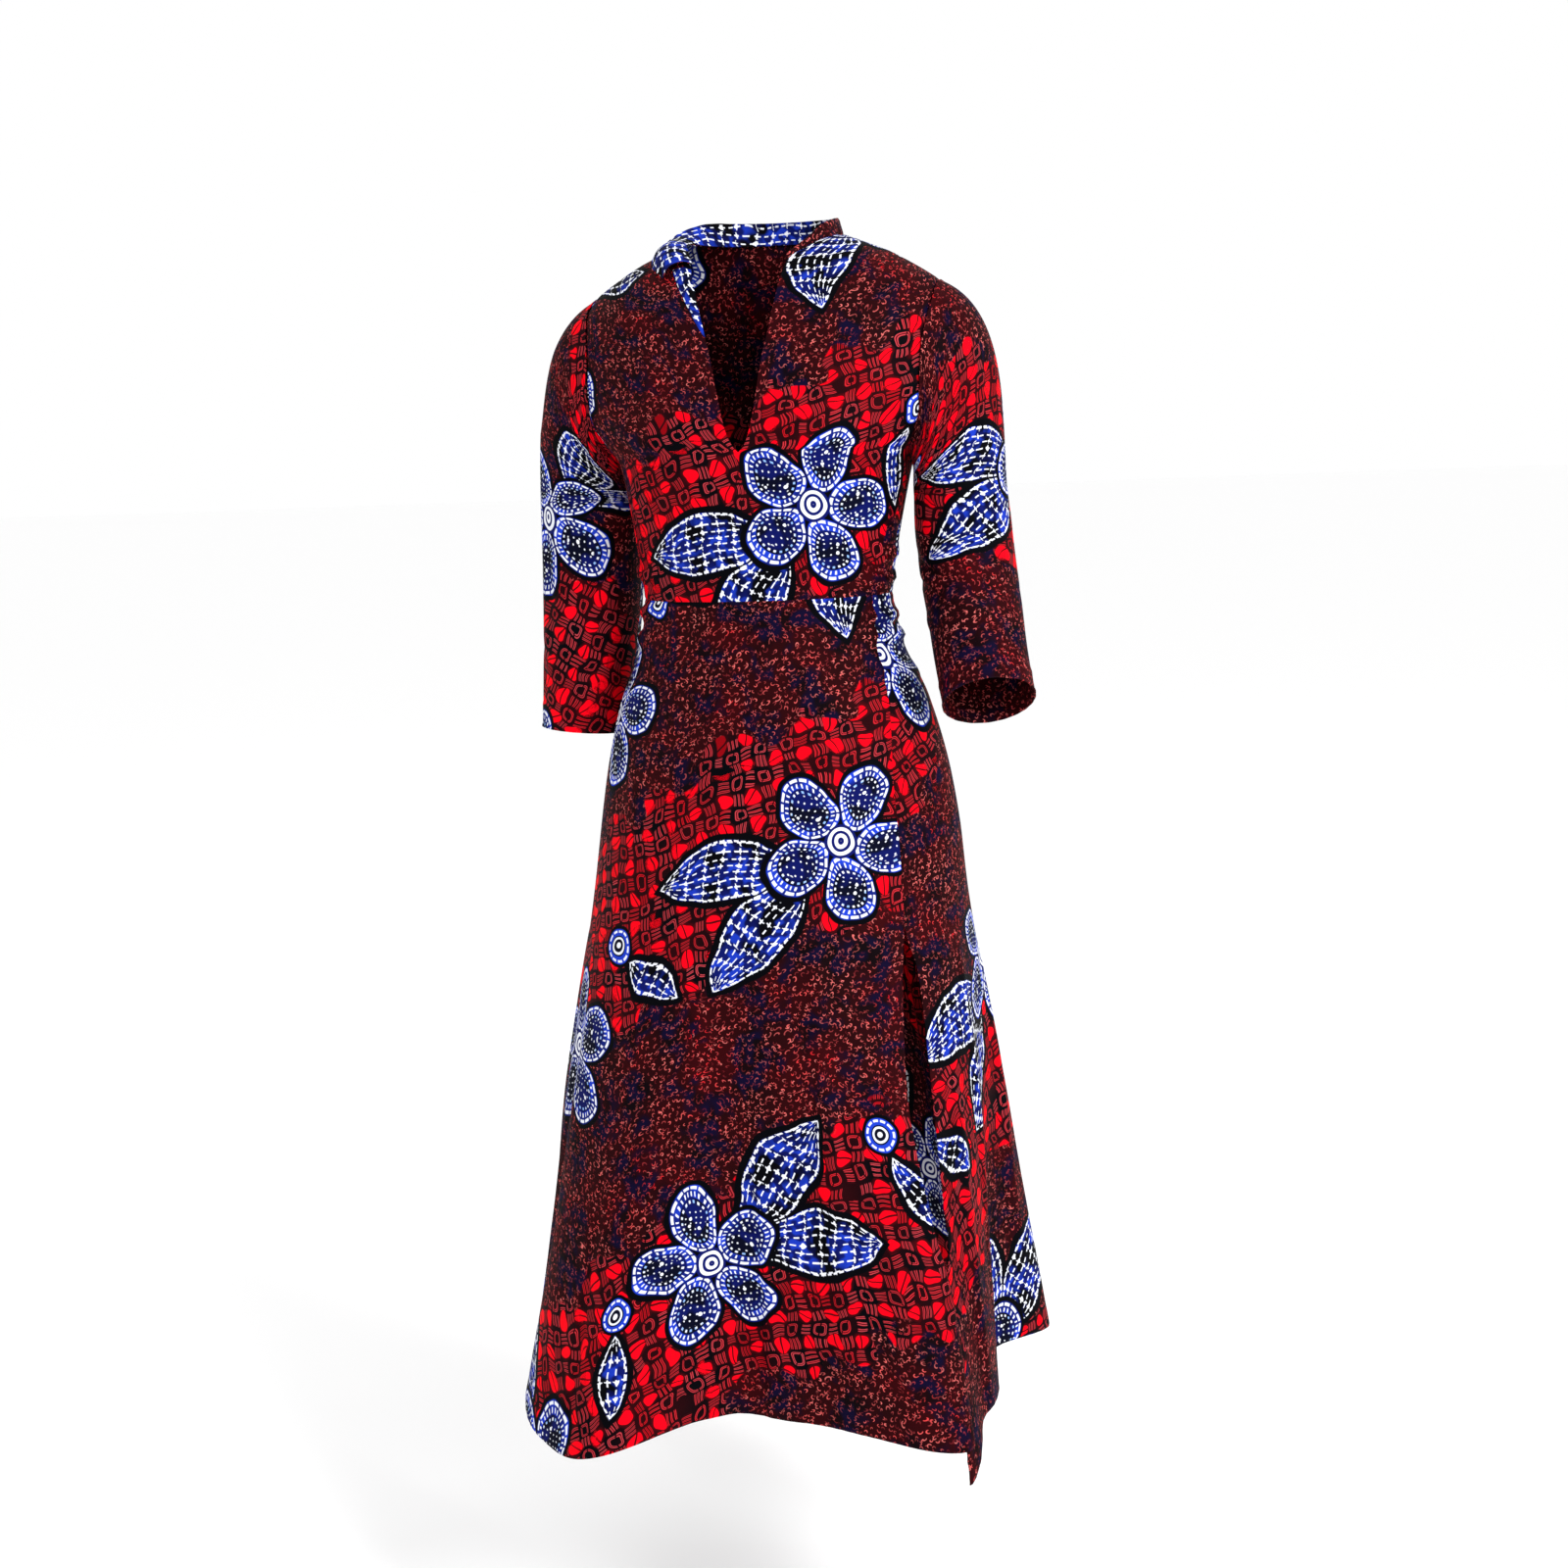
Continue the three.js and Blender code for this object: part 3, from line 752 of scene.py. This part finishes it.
def tucked(z):
    """How far the back panel's edge lies behind the front's below the open part of the slit."""
    t = np.clip((TUCK_TOP_Z - z) / (TUCK_TOP_Z - TUCK_FULL_Z), 0, 1)
    return t * t * (3 - 2 * t)


def slit_angle(z, edge):
    row = sample(SLIT, "z", z)
    return np.where(z < SLIT_TOP_Z, row[edge], row["front_edge"])


def straight(angle):
    """A seam that keeps to one angle."""
    return lambda z: angle + 0 * z


def front_slit_edge(z):
    return slit_angle(z, "front_edge") - SEAM_HALF


def back_slit_edge(z):
    return slit_angle(z, "side_edge") + SEAM_HALF - TUCK_ANGLE * tucked(z)


def slit_corner(beyond):
    """How much lower the hem hangs at the slit's back corner, this many degrees beyond its edge."""
    return CORNER_DROP * hump(beyond, 1, CORNER_REACH)


def skirt_front():
    return skirt_panel("SkirtFront", 560, straight(SEAM_HALF - 90), front_slit_edge)


def skirt_back_left():
    return skirt_panel("SkirtBackLeft", 560, back_slit_edge, straight(180 - SEAM_HALF), slit_corner)


def skirt_back_right():
    return skirt_panel("SkirtBackRight", 400, straight(SEAM_HALF - 180), straight(-90 - SEAM_HALF))


# Where each panel was laid on the printed cloth: turned in degrees, shifted in millimetres, and for skirt
# panels the slant distance from the waist up to the meeting point of their sides.
PRINT_PLACES = {
    "BodiceFront": (0, (127, 182)),
    "BodiceBackLeft": (2, (310, 140)),
    "BodiceBackRight": (-2, (-260, -40)),
    "SleeveLeft": (8, (420, 210)),
    "SleeveRight": (-6, (-330, 385)),
    "FrontFacing": (80, (60, 470)),
    "SkirtFront": (0, (60, 80), 930),
    "SkirtBackLeft": (3, (520, 60), 800),
    "SkirtBackRight": (-4, (-420, 140), 800),
}


# ---- Shader nodes as plain arithmetic ----
class Field:
    """A number at each place on the cloth, worked out by Math nodes as expressions are written."""

    tree = None

    def __init__(self, socket):
        self.socket = socket

    def __add__(self, other):
        return math_node("ADD", self, other)

    def __sub__(self, other):
        return math_node("SUBTRACT", self, other)

    def __rsub__(self, other):
        return math_node("SUBTRACT", other, self)

    def __mul__(self, other):
        return math_node("MULTIPLY", self, other)

    def __truediv__(self, other):
        return math_node("DIVIDE", self, other)

    def __abs__(self):
        return math_node("ABSOLUTE", self)

    __radd__ = __add__
    __rmul__ = __mul__


def new_node(kind, **settings):
    node = Field.tree.nodes.new(kind)
    for key, value in settings.items():
        setattr(node, key, value)
    return node


def feed(socket, value):
    """Links a field or socket, or sets a constant."""
    if isinstance(value, Field):
        value = value.socket
    if isinstance(value, bpy.types.NodeSocket):
        Field.tree.links.new(value, socket)
    else:
        socket.default_value = value


def math_node(operation, *values, clamp=False):
    node = new_node("ShaderNodeMath", operation=operation, use_clamp=clamp)
    for socket, value in zip(node.inputs, values):
        feed(socket, value)
    return Field(node.outputs[0])


def under(field, edge, soft):
    """1 where the field is below the edge, with an edge this soft."""
    return math_node("MULTIPLY_ADD", field, -1 / soft, edge / soft + 0.5, clamp=True)


def over(field, edge, soft):
    return math_node("MULTIPLY_ADD", field, 1 / soft, 0.5 - edge / soft, clamp=True)


def lower(a, b):
    return math_node("MINIMUM", a, b)


def higher(a, b):
    return math_node("MAXIMUM", a, b)


def fraction(field):
    return math_node("FRACT", field)


def floor(field):
    return math_node("FLOOR", field)


def parity(field):
    return math_node("FLOORED_MODULO", field, 2.0)


def wrap(field, period):
    """The field's distance from the nearest multiple of a period, from -1/2 to 1/2 of it."""
    return math_node("FLOORED_MODULO", field + period / 2, float(period)) - period / 2


def length(x, y):
    return math_node("SQRT", x * x + y * y)


def angle_of(y, x):
    return math_node("ARCTAN2", y, x)


def choose(mask, off, on):
    """The number off where the mask is 0 and on where it is 1."""
    node = new_node("ShaderNodeMix", data_type="FLOAT")
    feed(node.inputs[0], mask)
    feed(node.inputs[2], off)
    feed(node.inputs[3], on)
    return Field(node.outputs[0])


def paint(below, colour, mask):
    """A colour laid over another where the mask is 1."""
    node = new_node("ShaderNodeMix", data_type="RGBA")
    feed(node.inputs[0], mask)
    feed(node.inputs[6], below)
    feed(node.inputs[7], colour)
    return node.outputs[2]


def vector(x, y, z=0.0):
    node = new_node("ShaderNodeCombineXYZ")
    for socket, value in zip(node.inputs, (x, y, z)):
        feed(socket, value)
    return node.outputs[0]


def parts(socket):
    node = new_node("ShaderNodeSeparateXYZ")
    feed(node.inputs[0], socket)
    return [Field(output) for output in node.outputs]


def noise(place, size, detail=1.0):
    """Smooth noise about 0.5 with features of this size in millimetres."""
    node = new_node("ShaderNodeTexNoise", noise_dimensions="2D")
    feed(node.inputs["Vector"], place)
    node.inputs["Scale"].default_value = 1 / size
    node.inputs["Detail"].default_value = detail
    return node


def haze(place, size, detail):
    return Field(noise(place, size, detail).outputs[0])


def in_millimetres(place):
    node = new_node("ShaderNodeVectorMath", operation="SCALE")
    feed(node.inputs[0], place)
    node.inputs["Scale"].default_value = 1 / MM
    return node.outputs[0]


def cells(place, size, jitter):
    """Irregular cells of this size, which jitter moves off a square grid."""
    node = new_node("ShaderNodeTexVoronoi", voronoi_dimensions="2D", feature="F1")
    feed(node.inputs["Vector"], place)
    node.inputs["Scale"].default_value = 1 / size
    node.inputs["Randomness"].default_value = jitter
    return node.outputs


def random_of(x, y):
    """Three steady random numbers for each whole-numbered cell."""
    node = new_node("ShaderNodeTexWhiteNoise", noise_dimensions="2D")
    feed(node.inputs["Vector"], vector(x, y))
    return parts(node.outputs["Color"])


def rotated(x, y, angle):
    c = math_node("COSINE", angle) if isinstance(angle, Field) else math.cos(angle)
    s = math_node("SINE", angle) if isinstance(angle, Field) else math.sin(angle)
    return x * c + y * s, y * c - x * s


def colour(code):
    """A linear colour from its usual six-digit name, as deep as this dye lies on cotton."""
    channels = [int(code[k:k + 2], 16) / 255 for k in (0, 2, 4)]
    linear = [c / 12.92 if c <= 0.04045 else ((c + 0.055) / 1.055) ** 2.4 for c in channels]
    return (*[c * DYE_DEPTH for c in linear], 1.0)


# ---- The wax print, in millimetres on the cloth ----
INK = colour("020206")
NIGHT = colour("05071C")
NAVY = colour("0C1560")
BLUE = colour("1C3CC4")
SKY = colour("8FB8F2")
WHITE = colour("F4F7FF")
RED = colour("FF0018")
DULL_RED = colour("DC1422")
BRICK = colour("A82C36")
PINK = colour("CC4A54")
ROSE = colour("EE7672")
EMBER = colour("5A030B")
WINE = colour("3C0207")
MAROON = colour("200306")
VIOLET = colour("0C0628")

LATTICE_PITCH = 14.6
LATTICE_TURN = math.radians(17)
BAND_PERIOD = 400
BAND_TURN = math.radians(28)
MOTIF_WIDTH = 300
MOTIF_HEIGHT = 372


def lattice(x, y, glow):
    """Red blobs, hollow squares and short bars set by turns on a slanting grid."""
    gx, gy = rotated(x / LATTICE_PITCH, y / LATTICE_PITCH, LATTICE_TURN)
    column, row = floor(gx), floor(gy)
    fx = gx - column - 0.5
    fy = gy - row - 0.5
    a, b = parity(column), parity(row)
    r1, r2, r3 = random_of(column, row)
    is_square = a * b
    is_bars = a + b - a * b * 2
    # small hollow squares with black middles, open at one corner
    power = math_node("POWER", abs(fx) * (r3 * 0.3 + 0.9), 3.6) + math_node("POWER", abs(fy), 3.6)
    side = math_node("POWER", power, 1 / 3.6)
    gap = over(abs(fx - fy * (r2 * 2 - 1)), 0.05, 0.03)
    from_ring = abs(side - (r1 * 0.07 + 0.31))
    # thin bars, upright beside the blobs and level beside the squares, of uneven number and length
    bar_x = choose(b, fx, fy)
    bar_y = choose(b, fy, fx)
    pitch = floor(r2 * 1.99) * 0.07 + 0.25
    nearest = math_node("FLOORED_MODULO", bar_x + pitch / 2, pitch) - pitch / 2
    ends = under(abs(bar_y + (r1 - 0.5) * 0.16), 0.28 + r3 * 0.12, 0.06) * under(abs(bar_x), 0.42, 0.03)
    # both are dark red inside a thin paler rim
    from_line = choose(is_square, abs(nearest), from_ring)
    kept = choose(is_square, ends, gap) * (is_square + is_bars)
    filled = under(from_line, 0.075, 0.03) * kept
    rim = under(abs(from_line - 0.05), 0.022, 0.025) * kept
    # irregular blobs in every other cell of every other row, some split into wedges, a few left out
    bx = wrap(gx - 0.5, 2)
    by = wrap(gy - 0.5, 2)
    q1, q2, q3 = random_of(gx - bx, gy - by)
    px, py = rotated(bx + (q3 - 0.5) * 0.2, by + (q1 - 0.5) * 0.2, q2 * 3.1)
    stretch = q1 * 0.44 + 0.78
    swing = angle_of(py, px)
    lumps = math_node("SINE", swing * 3.0 + q3 * 6.3) * 0.05
    radius = length(px * stretch, py * (2.0 - stretch)) + lumps
    split = higher(under(q1, 0.45, 0.01), over(abs(px + (q3 - 0.5) * 0.2), 0.06, 0.03))
    wedge = higher(over(q1, 0.25, 0.01), over(abs(py + px * 0.7), 0.06, 0.03))
    present = over(q3, 0.08, 0.01)
    size = q2 * 0.13 + 0.42
    blob = under(radius, size, 0.04) * split * wedge * present
    edge = over(radius, size + 0.05, 0.03)
    halo = under(radius, size + 0.1, 0.24) * present
    shade = paint(paint(INK, WINE, glow * 0.55), EMBER, halo * 0.7)
    shade = paint(shade, EMBER, filled * edge * 0.75)
    warm = lower(glow * 0.8 + r3 * 0.5, 1.0)
    shade = paint(shade, paint(PINK, DULL_RED, warm), rim * edge * (0.6 + r2 * 0.4))
    return paint(shade, RED, blob)


def curls(place, size, offset):
    """Small comma strokes, one in each cell of a jittered grid, with a random number for each."""
    shifted = new_node("ShaderNodeVectorMath", operation="ADD")
    feed(shifted.inputs[0], place)
    shifted.inputs[1].default_value = (offset, offset * 0.7, 0)
    found = cells(shifted.outputs[0], size, 0.8)
    x, y, _ = parts(shifted.outputs[0])
    cx, cy, _ = parts(found["Position"])
    r1, r2, r3 = parts(found["Color"])
    dx, dy = x - cx, y - cy
    bend = r2 * 0.9 + 1.0
    swing = abs(wrap(angle_of(dy, dx) - r1 * FULL_TURN, FULL_TURN))
    stroke = 0.52 - swing * 0.14
    ring = math_node("MULTIPLY_ADD", stroke - abs(length(dx, dy) - bend), 1 / 0.4, 0.5, clamp=True)
    return ring * under(swing, 1.9, 0.3), r3


def scribble(place, glow):
    """A dark ground filled with small curls, with navy clouds in it."""
    first, tone = curls(place, 5.8, 0.0)
    second, other = curls(place, 9.5, 37.3)
    clouds = over(haze(place, 40, 2.0), 0.54, 0.16)
    ground = paint(MAROON, WINE, glow * 0.6)
    ground = paint(ground, INK, clouds * 0.8)
    ground = paint(ground, VIOLET, clouds * over(haze(place, 14, 0.0), 0.5, 0.3) * 0.9)
    warm = paint(paint(BRICK, ROSE, tone), DULL_RED, glow * tone)
    strength = (tone * 0.75 + 0.22) * (1 - clouds * 0.55)
    drawn = paint(ground, warm, first * strength)
    return paint(drawn, ROSE, second * over(other, 0.6, 0.1) * 0.7 * (1 - clouds * 0.6))


def mesh_fill(x, rows, pitch, place):
    """White dashes along curving rows, with broken cross lines and knots between them, on navy clouds."""
    row = floor(rows)
    off_row = abs(rows - row - 0.5) * pitch
    blot = haze(place, 9, 0.0)
    dash = under(abs(wrap(x + row * 3.7, 9.4)), blot * 2.4 + 1.4, 0.5) * under(off_row, 0.75, 0.5)
    column = wrap(x + row * 1.3, 18.0)
    cross = under(abs(column + (blot - 0.5) * 5), blot * 1.2, 0.5) * under(off_row, pitch * 0.38, 0.8)
    knot = under(abs(column) * 0.8 + off_row, blot * 4.2 - 0.2, 0.5)
    clouds = over(haze(place, 30, 2.0), 0.5, 0.2)
    ground = paint(INK, NAVY, clouds)
    ground = paint(ground, BLUE, clouds * over(blot, 0.52, 0.16) * 0.8)
    return paint(ground, WHITE, higher(higher(dash, knot), cross))


def dots(place, size, reach, jitter):
    return under(Field(cells(place, size, jitter)["Distance"]), reach / size, 0.35 / size)


def rings(radius, count_pitch):
    return under(abs(wrap(radius + count_pitch / 4, count_pitch)), count_pitch * 0.27, 0.5)


def blossom(x, y, place):
    """Five rounded petals round a ringed middle: dashed outline, blue band with ticks, dotted navy inside."""
    radius = length(x, y)
    fold = wrap(angle_of(y, x), FULL_TURN / PETALS)
    px = radius * math_node("COSINE", fold) - 47
    py = radius * math_node("SINE", fold)
    egg = length(px / 34, py / (25 + px * 0.1))
    depth = (1 - egg) * 27
    swing = angle_of(py / 25, px / 34) / FULL_TURN
    blot = haze(place, 8, 0.0)
    outline = under(abs(depth - 2.0), 1.15, 0.5) * under(abs(wrap(swing, 1 / 17)), 0.0225, 0.004)
    wobble = (blot - 0.5) * 0.02
    ticks = under(abs(depth - 6.3), 1.5, 0.7) * under(abs(wrap(swing + wobble, 1 / 27)), 0.0056, 0.003)
    beads = under(abs(depth - 11.0), 0.9, 0.5) * under(abs(wrap(swing, 1 / 19)), 0.011, 0.005)
    inside = over(depth, 8.6, 0.6)
    shade = paint(BLUE, NAVY, over(haze(place, 16, 0.0), 0.42, 0.2) * 0.85)
    shade = paint(shade, NIGHT, inside)
    shade = paint(shade, NAVY, inside * over(haze(place, 24, 1.0), 0.52, 0.12) * 0.8)
    fine = dots(place, 6.2, 0.85, 0.2) * over(depth, 13.6, 1.0)
    coarse = dots(place, 15.0, 1.8, 0.6) * over(depth, 15.0, 1.0)
    shade = paint(shade, WHITE, fine * 0.85)
    shade = paint(shade, WHITE, coarse)
    shade = paint(shade, paint(WHITE, SKY, over(blot, 0.55, 0.2)), beads)
    shade = paint(shade, WHITE, higher(outline, ticks))
    shade = paint(INK, shade, over(depth, -0.2, 0.7))
    core = under(radius, 15.5, 0.8)
    ring_colour = paint(NAVY, WHITE, rings(radius, 6.2) * under(radius, 13.6, 0.6))
    shade = paint(shade, ring_colour, core)
    mask = higher(over(depth, -4.6, 0.8), under(radius, 19.5, 0.8))
    return shade, mask


def leaf(x, y, half_length, half_width, place):
    """A broad leaf with a pointed tip at each end, filled with the mesh."""
    width = (1 - (x / half_length) * (x / half_length)) * half_width
    depth = (width - abs(y)) * 0.85
    count = round(half_width / MESH_ROW)
    rows = y / higher(width, 2.0) * count + 40
    shade = mesh_fill(x, rows, half_width / count, place)
    shade = paint(INK, shade, over(depth, 1.2, 0.8))
    edge = under(abs(depth - 2.4), 0.75, 0.5) * under(abs(wrap(x, 7.6)), 2.5, 0.5)
    shade = paint(shade, WHITE, edge)
    mask = over(depth, -4.6, 0.8) * under(abs(x), half_length + 5.0, 1.0)
    return shade, mask


def ring_dot(x, y):
    radius = length(x, y)
    outer = under(abs(radius - 13.4), 1.1, 0.6) * under(abs(wrap(angle_of(y, x), FULL_TURN / 11)), 0.2, 0.05)
    inner = under(abs(radius - 6.8), 1.0, 0.5)
    eye = under(radius, 2.6, 0.5)
    shade = paint(paint(BLUE, NIGHT, under(radius, 9.2, 0.6)), WHITE, higher(higher(inner, eye), outer))
    return paint(INK, shade, under(radius, 16.0, 0.6)), under(radius, 19.5, 0.8)


def motif_cells(x, y, across, down):
    """Places in a half-drop repeat: offset from the cell's middle, and two random numbers for the cell."""
    column = floor(x / MOTIF_WIDTH + across)
    slid = y / MOTIF_HEIGHT + parity(column) * 0.5 + down
    row = floor(slid)
    r1, r2, _ = random_of(column + across * 7, row + down * 5)
    dx = (x / MOTIF_WIDTH + across - column - 0.5) * MOTIF_WIDTH
    dy = (slid - row - 0.5) * MOTIF_HEIGHT
    return dx, dy, r1, r2


def print_group(name, draw):
    """A print as a node group: place on the cloth in metres in, colour out."""
    tree = bpy.data.node_groups.new(name, "ShaderNodeTree")
    tree.interface.new_socket("Place", in_out="INPUT", socket_type="NodeSocketVector")
    tree.interface.new_socket("Color", in_out="OUTPUT", socket_type="NodeSocketColor")
    Field.tree = tree
    entry = new_node("NodeGroupInput")
    exit_node = new_node("NodeGroupOutput")
    feed(exit_node.inputs[0], draw(in_millimetres(entry.outputs[0])))
    return tree


def warped(flat, shake):
    """Places drawn by a hand that wavers, with small wavers this large on top of the wide ones."""
    x, y, _ = parts(flat)
    drift_x, drift_y, _ = parts(noise(flat, 46, 1.0).outputs["Color"])
    x = x + (drift_x - 0.5) * 13
    y = y + (drift_y - 0.5) * 13
    if shake:
        shake_x, shake_y, _ = parts(noise(flat, 16, 0.0).outputs["Color"])
        x = x + (shake_x - 0.5) * shake
        y = y + (shake_y - 0.5) * shake
    return x, y, vector(x, y)


def warmth(place):
    """Where the dye of the grounds is redder."""
    return over(haze(place, 60, 1.0), 0.52, 0.4)


def wax_print(flat):
    x0, y0, _ = parts(flat)
    x, y, place = warped(flat, 4.5)
    glow = warmth(place)
    # slanting bands of the two grounds
    _, climb = rotated(x0, y0, BAND_TURN)
    edge_noise = haze(flat, 46, 1.0)
    band = fraction((climb + (edge_noise - 0.5) * 80) / BAND_PERIOD)
    in_lattice = under(abs(band - 0.5), 0.25, 0.008)
    shade = paint(scribble(place, glow), lattice(x, y, glow), in_lattice)
    # a blossom beside a pair of leaves in each cell, and a ring dot with a small leaf between cells
    x, y, place = warped(flat, 0)
    dx, dy, r1, r2 = motif_cells(x, y, 0.0, 0.0)
    mx, my = rotated(dx + (r2 - 0.5) * 16, dy, r1 * FULL_TURN)
    along, aside = rotated(mx - 58, abs(my) - 37, math.radians(24))
    leaf_shade, leaf_mask = leaf(along, aside, 74, 33, place)
    shade = paint(shade, leaf_shade, leaf_mask)
    blossom_shade, blossom_mask = blossom(mx + 56, my, place)
    shade = paint(shade, blossom_shade, blossom_mask)
    sx, sy, s1, _ = motif_cells(x, y, 0.5, 0.25)
    tx, ty = rotated(sx, sy, s1 * FULL_TURN)
    small_shade, small_mask = leaf(tx - 26, ty, 44, 17, place)
    shade = paint(shade, small_shade, small_mask * under(length(tx, ty), 80, 1.0))
    dot_shade, dot_mask = ring_dot(tx + 36, ty)
    return paint(shade, dot_shade, dot_mask)


def curl_print(flat):
    """The curled ground alone."""
    place = warped(flat, 4.5)[2]
    return scribble(place, warmth(place))


def mesh_print(flat):
    """The white mesh alone."""
    x, y, place = warped(flat, 0)
    return mesh_fill(x, y / MESH_ROW, MESH_ROW, place)


def cloth_material(name, group, roughness):
    """Crisp cotton with a faint waxy sheen: the print, a fine weave and slight unevenness."""
    material = bpy.data.materials.new(name)
    material.use_nodes = True
    Field.tree = material.node_tree
    material.node_tree.nodes.clear()
    output = new_node("ShaderNodeOutputMaterial")
    shader = new_node("ShaderNodeBsdfPrincipled")
    feed(output.inputs["Surface"], shader.outputs[0])
    uv = new_node("ShaderNodeUVMap", uv_map="PrintUV")
    cloth_print = new_node("ShaderNodeGroup", node_tree=group)
    feed(cloth_print.inputs[0], uv.outputs[0])
    feed(shader.inputs["Base Color"], cloth_print.outputs[0])
    place = in_millimetres(uv.outputs[0])
    x, y, _ = parts(place)
    thread = FULL_TURN / 0.55
    weave = math_node("SINE", x * thread) * math_node("SINE", y * thread)
    crumple = haze(place, 26, 2.0)
    fine = new_node("ShaderNodeBump")
    fine.inputs["Strength"].default_value = 0.35
    fine.inputs["Distance"].default_value = 0.0012
    feed(fine.inputs["Height"], weave * 0.06 + crumple)
    feed(shader.inputs["Normal"], fine.outputs[0])
    feed(shader.inputs["Roughness"], crumple * 0.2 + (roughness - 0.1))
    shader.inputs["Specular IOR Level"].default_value = 0.03
    shader.inputs["Sheen Weight"].default_value = 0.004
    shader.inputs["Sheen Roughness"].default_value = 0.4
    return material


# ---- Pieces ----
def place_piece(piece, node, material):
    piece.data.materials.append(material)
    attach(piece, BODY_NAME)
    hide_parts(node)


def dress():
    whole = print_group("WaxPrint", wax_print)
    bodice = cloth_material("BodicePrint", whole, 0.68)
    sleeves = cloth_material("SleevePrint", whole, 0.68)
    skirt = cloth_material("SkirtPrint", whole, 0.67)
    collar_outside = cloth_material("CollarPrint", print_group("CurlPrint", curl_print), 0.66)
    mesh_side = cloth_material("FacingPrint", print_group("MeshPrint", mesh_print), 0.66)
    place_piece(bodice_front(), "bodice_front", bodice)
    place_piece(bodice_back(1), "bodice_back_left", bodice)
    place_piece(bodice_back(-1), "bodice_back_right", bodice)
    left = sleeve("SleeveLeft", 1, SLEEVE_LEFT, SLEEVE_LEFT_FOLDS)
    right = sleeve("SleeveRight", -1, SLEEVE_RIGHT, SLEEVE_RIGHT_FOLDS)
    place_piece(left, "sleeve_left", sleeves)
    place_piece(right, "sleeve_right", sleeves)
    stand = collar()
    place_piece(stand, "collar", collar_outside)
    stand.data.materials.append(mesh_side)
    place_piece(front_facing(), "front_facing", mesh_side)
    place_piece(skirt_front(), "skirt_front", skirt)
    place_piece(skirt_back_left(), "skirt_back_left", skirt)
    place_piece(skirt_back_right(), "skirt_back_right", skirt)


# ---- Camera, floor and light ----
CAMERA_AZIMUTH = 16
CAMERA_PITCH = 8.7
CAMERA_ROLL = 2.46
CAMERA_DISTANCE = 2.45
CAMERA_AIM_Y = -0.029
CAMERA_Z = -0.184
CAMERA_LENS = 54.45
CAMERA_SHIFT = 0.0025
FLOOR_Z = -1.48  # the wearer's feet
FLOOR_REACH = 40
LIGHT_AIM = (0, 0, -0.6)


def camera():
    azimuth = math.radians(CAMERA_AZIMUTH)
    pitch = math.radians(CAMERA_PITCH)
    roll = math.radians(CAMERA_ROLL)
    level_part = math.cos(pitch)
    forward = Vector((-math.sin(azimuth) * level_part, math.cos(azimuth) * level_part, -math.sin(pitch)))
    level = forward.cross(Vector((0, 0, 1))).normalized()
    upright = level.cross(forward)
    up = upright * math.cos(roll) + level * math.sin(roll)
    right = level * math.cos(roll) - upright * math.sin(roll)
    data = bpy.data.cameras.new("Camera")
    data.lens = CAMERA_LENS
    data.shift_x = CAMERA_SHIFT
    eye = bpy.data.objects.new("Camera", data)
    axes = Matrix((right, up, -forward)).transposed().to_4x4()
    y = CAMERA_AIM_Y - CAMERA_DISTANCE * math.cos(azimuth)
    place = (CAMERA_DISTANCE * math.sin(azimuth), y, CAMERA_Z)
    eye.matrix_world = Matrix.Translation(place) @ axes
    bpy.context.scene.collection.objects.link(eye)
    bpy.context.scene.camera = eye


def floor_plane():
    mesh = bpy.data.meshes.new("Floor")
    signs = [(-1, -1), (1, -1), (1, 1), (-1, 1)]
    corners = [(x * FLOOR_REACH, y * FLOOR_REACH, FLOOR_Z) for x, y in signs]
    mesh.from_pydata(corners, [], [(0, 1, 2, 3)])
    ground = bpy.data.objects.new("Floor", mesh)
    bpy.context.scene.collection.objects.link(ground)
    material = bpy.data.materials.new("FloorPaper")
    material.use_nodes = True
    shader = material.node_tree.nodes["Principled BSDF"]
    shader.inputs["Base Color"].default_value = (0.985, 0.985, 0.985, 1)
    shader.inputs["Roughness"].default_value = 0.9
    mesh.materials.append(material)


def area_light(name, place, size, power):
    data = bpy.data.lights.new(name, "AREA")
    data.shape = "SQUARE"
    data.size = size
    data.energy = power
    lamp = bpy.data.objects.new(name, data)
    lamp.location = place
    lamp.rotation_mode = "QUATERNION"
    lamp.rotation_quaternion = (Vector(LIGHT_AIM) - Vector(place)).to_track_quat("-Z", "Y")
    bpy.context.scene.collection.objects.link(lamp)


def studio():
    world = bpy.data.worlds.new("Studio")
    world.use_nodes = True
    backdrop = world.node_tree.nodes["Background"]
    backdrop.inputs["Color"].default_value = (1, 1, 1, 1)
    backdrop.inputs["Strength"].default_value = 1.0
    bpy.context.scene.world = world
    bpy.context.scene.view_settings.view_transform = "Standard"
    area_light("Key", (2.5, -1.9, 1.2), 1.1, 105)
    area_light("Fill", (-2.4, -1.6, 0.4), 1.6, 6)


camera()
dress()
floor_plane()
studio()
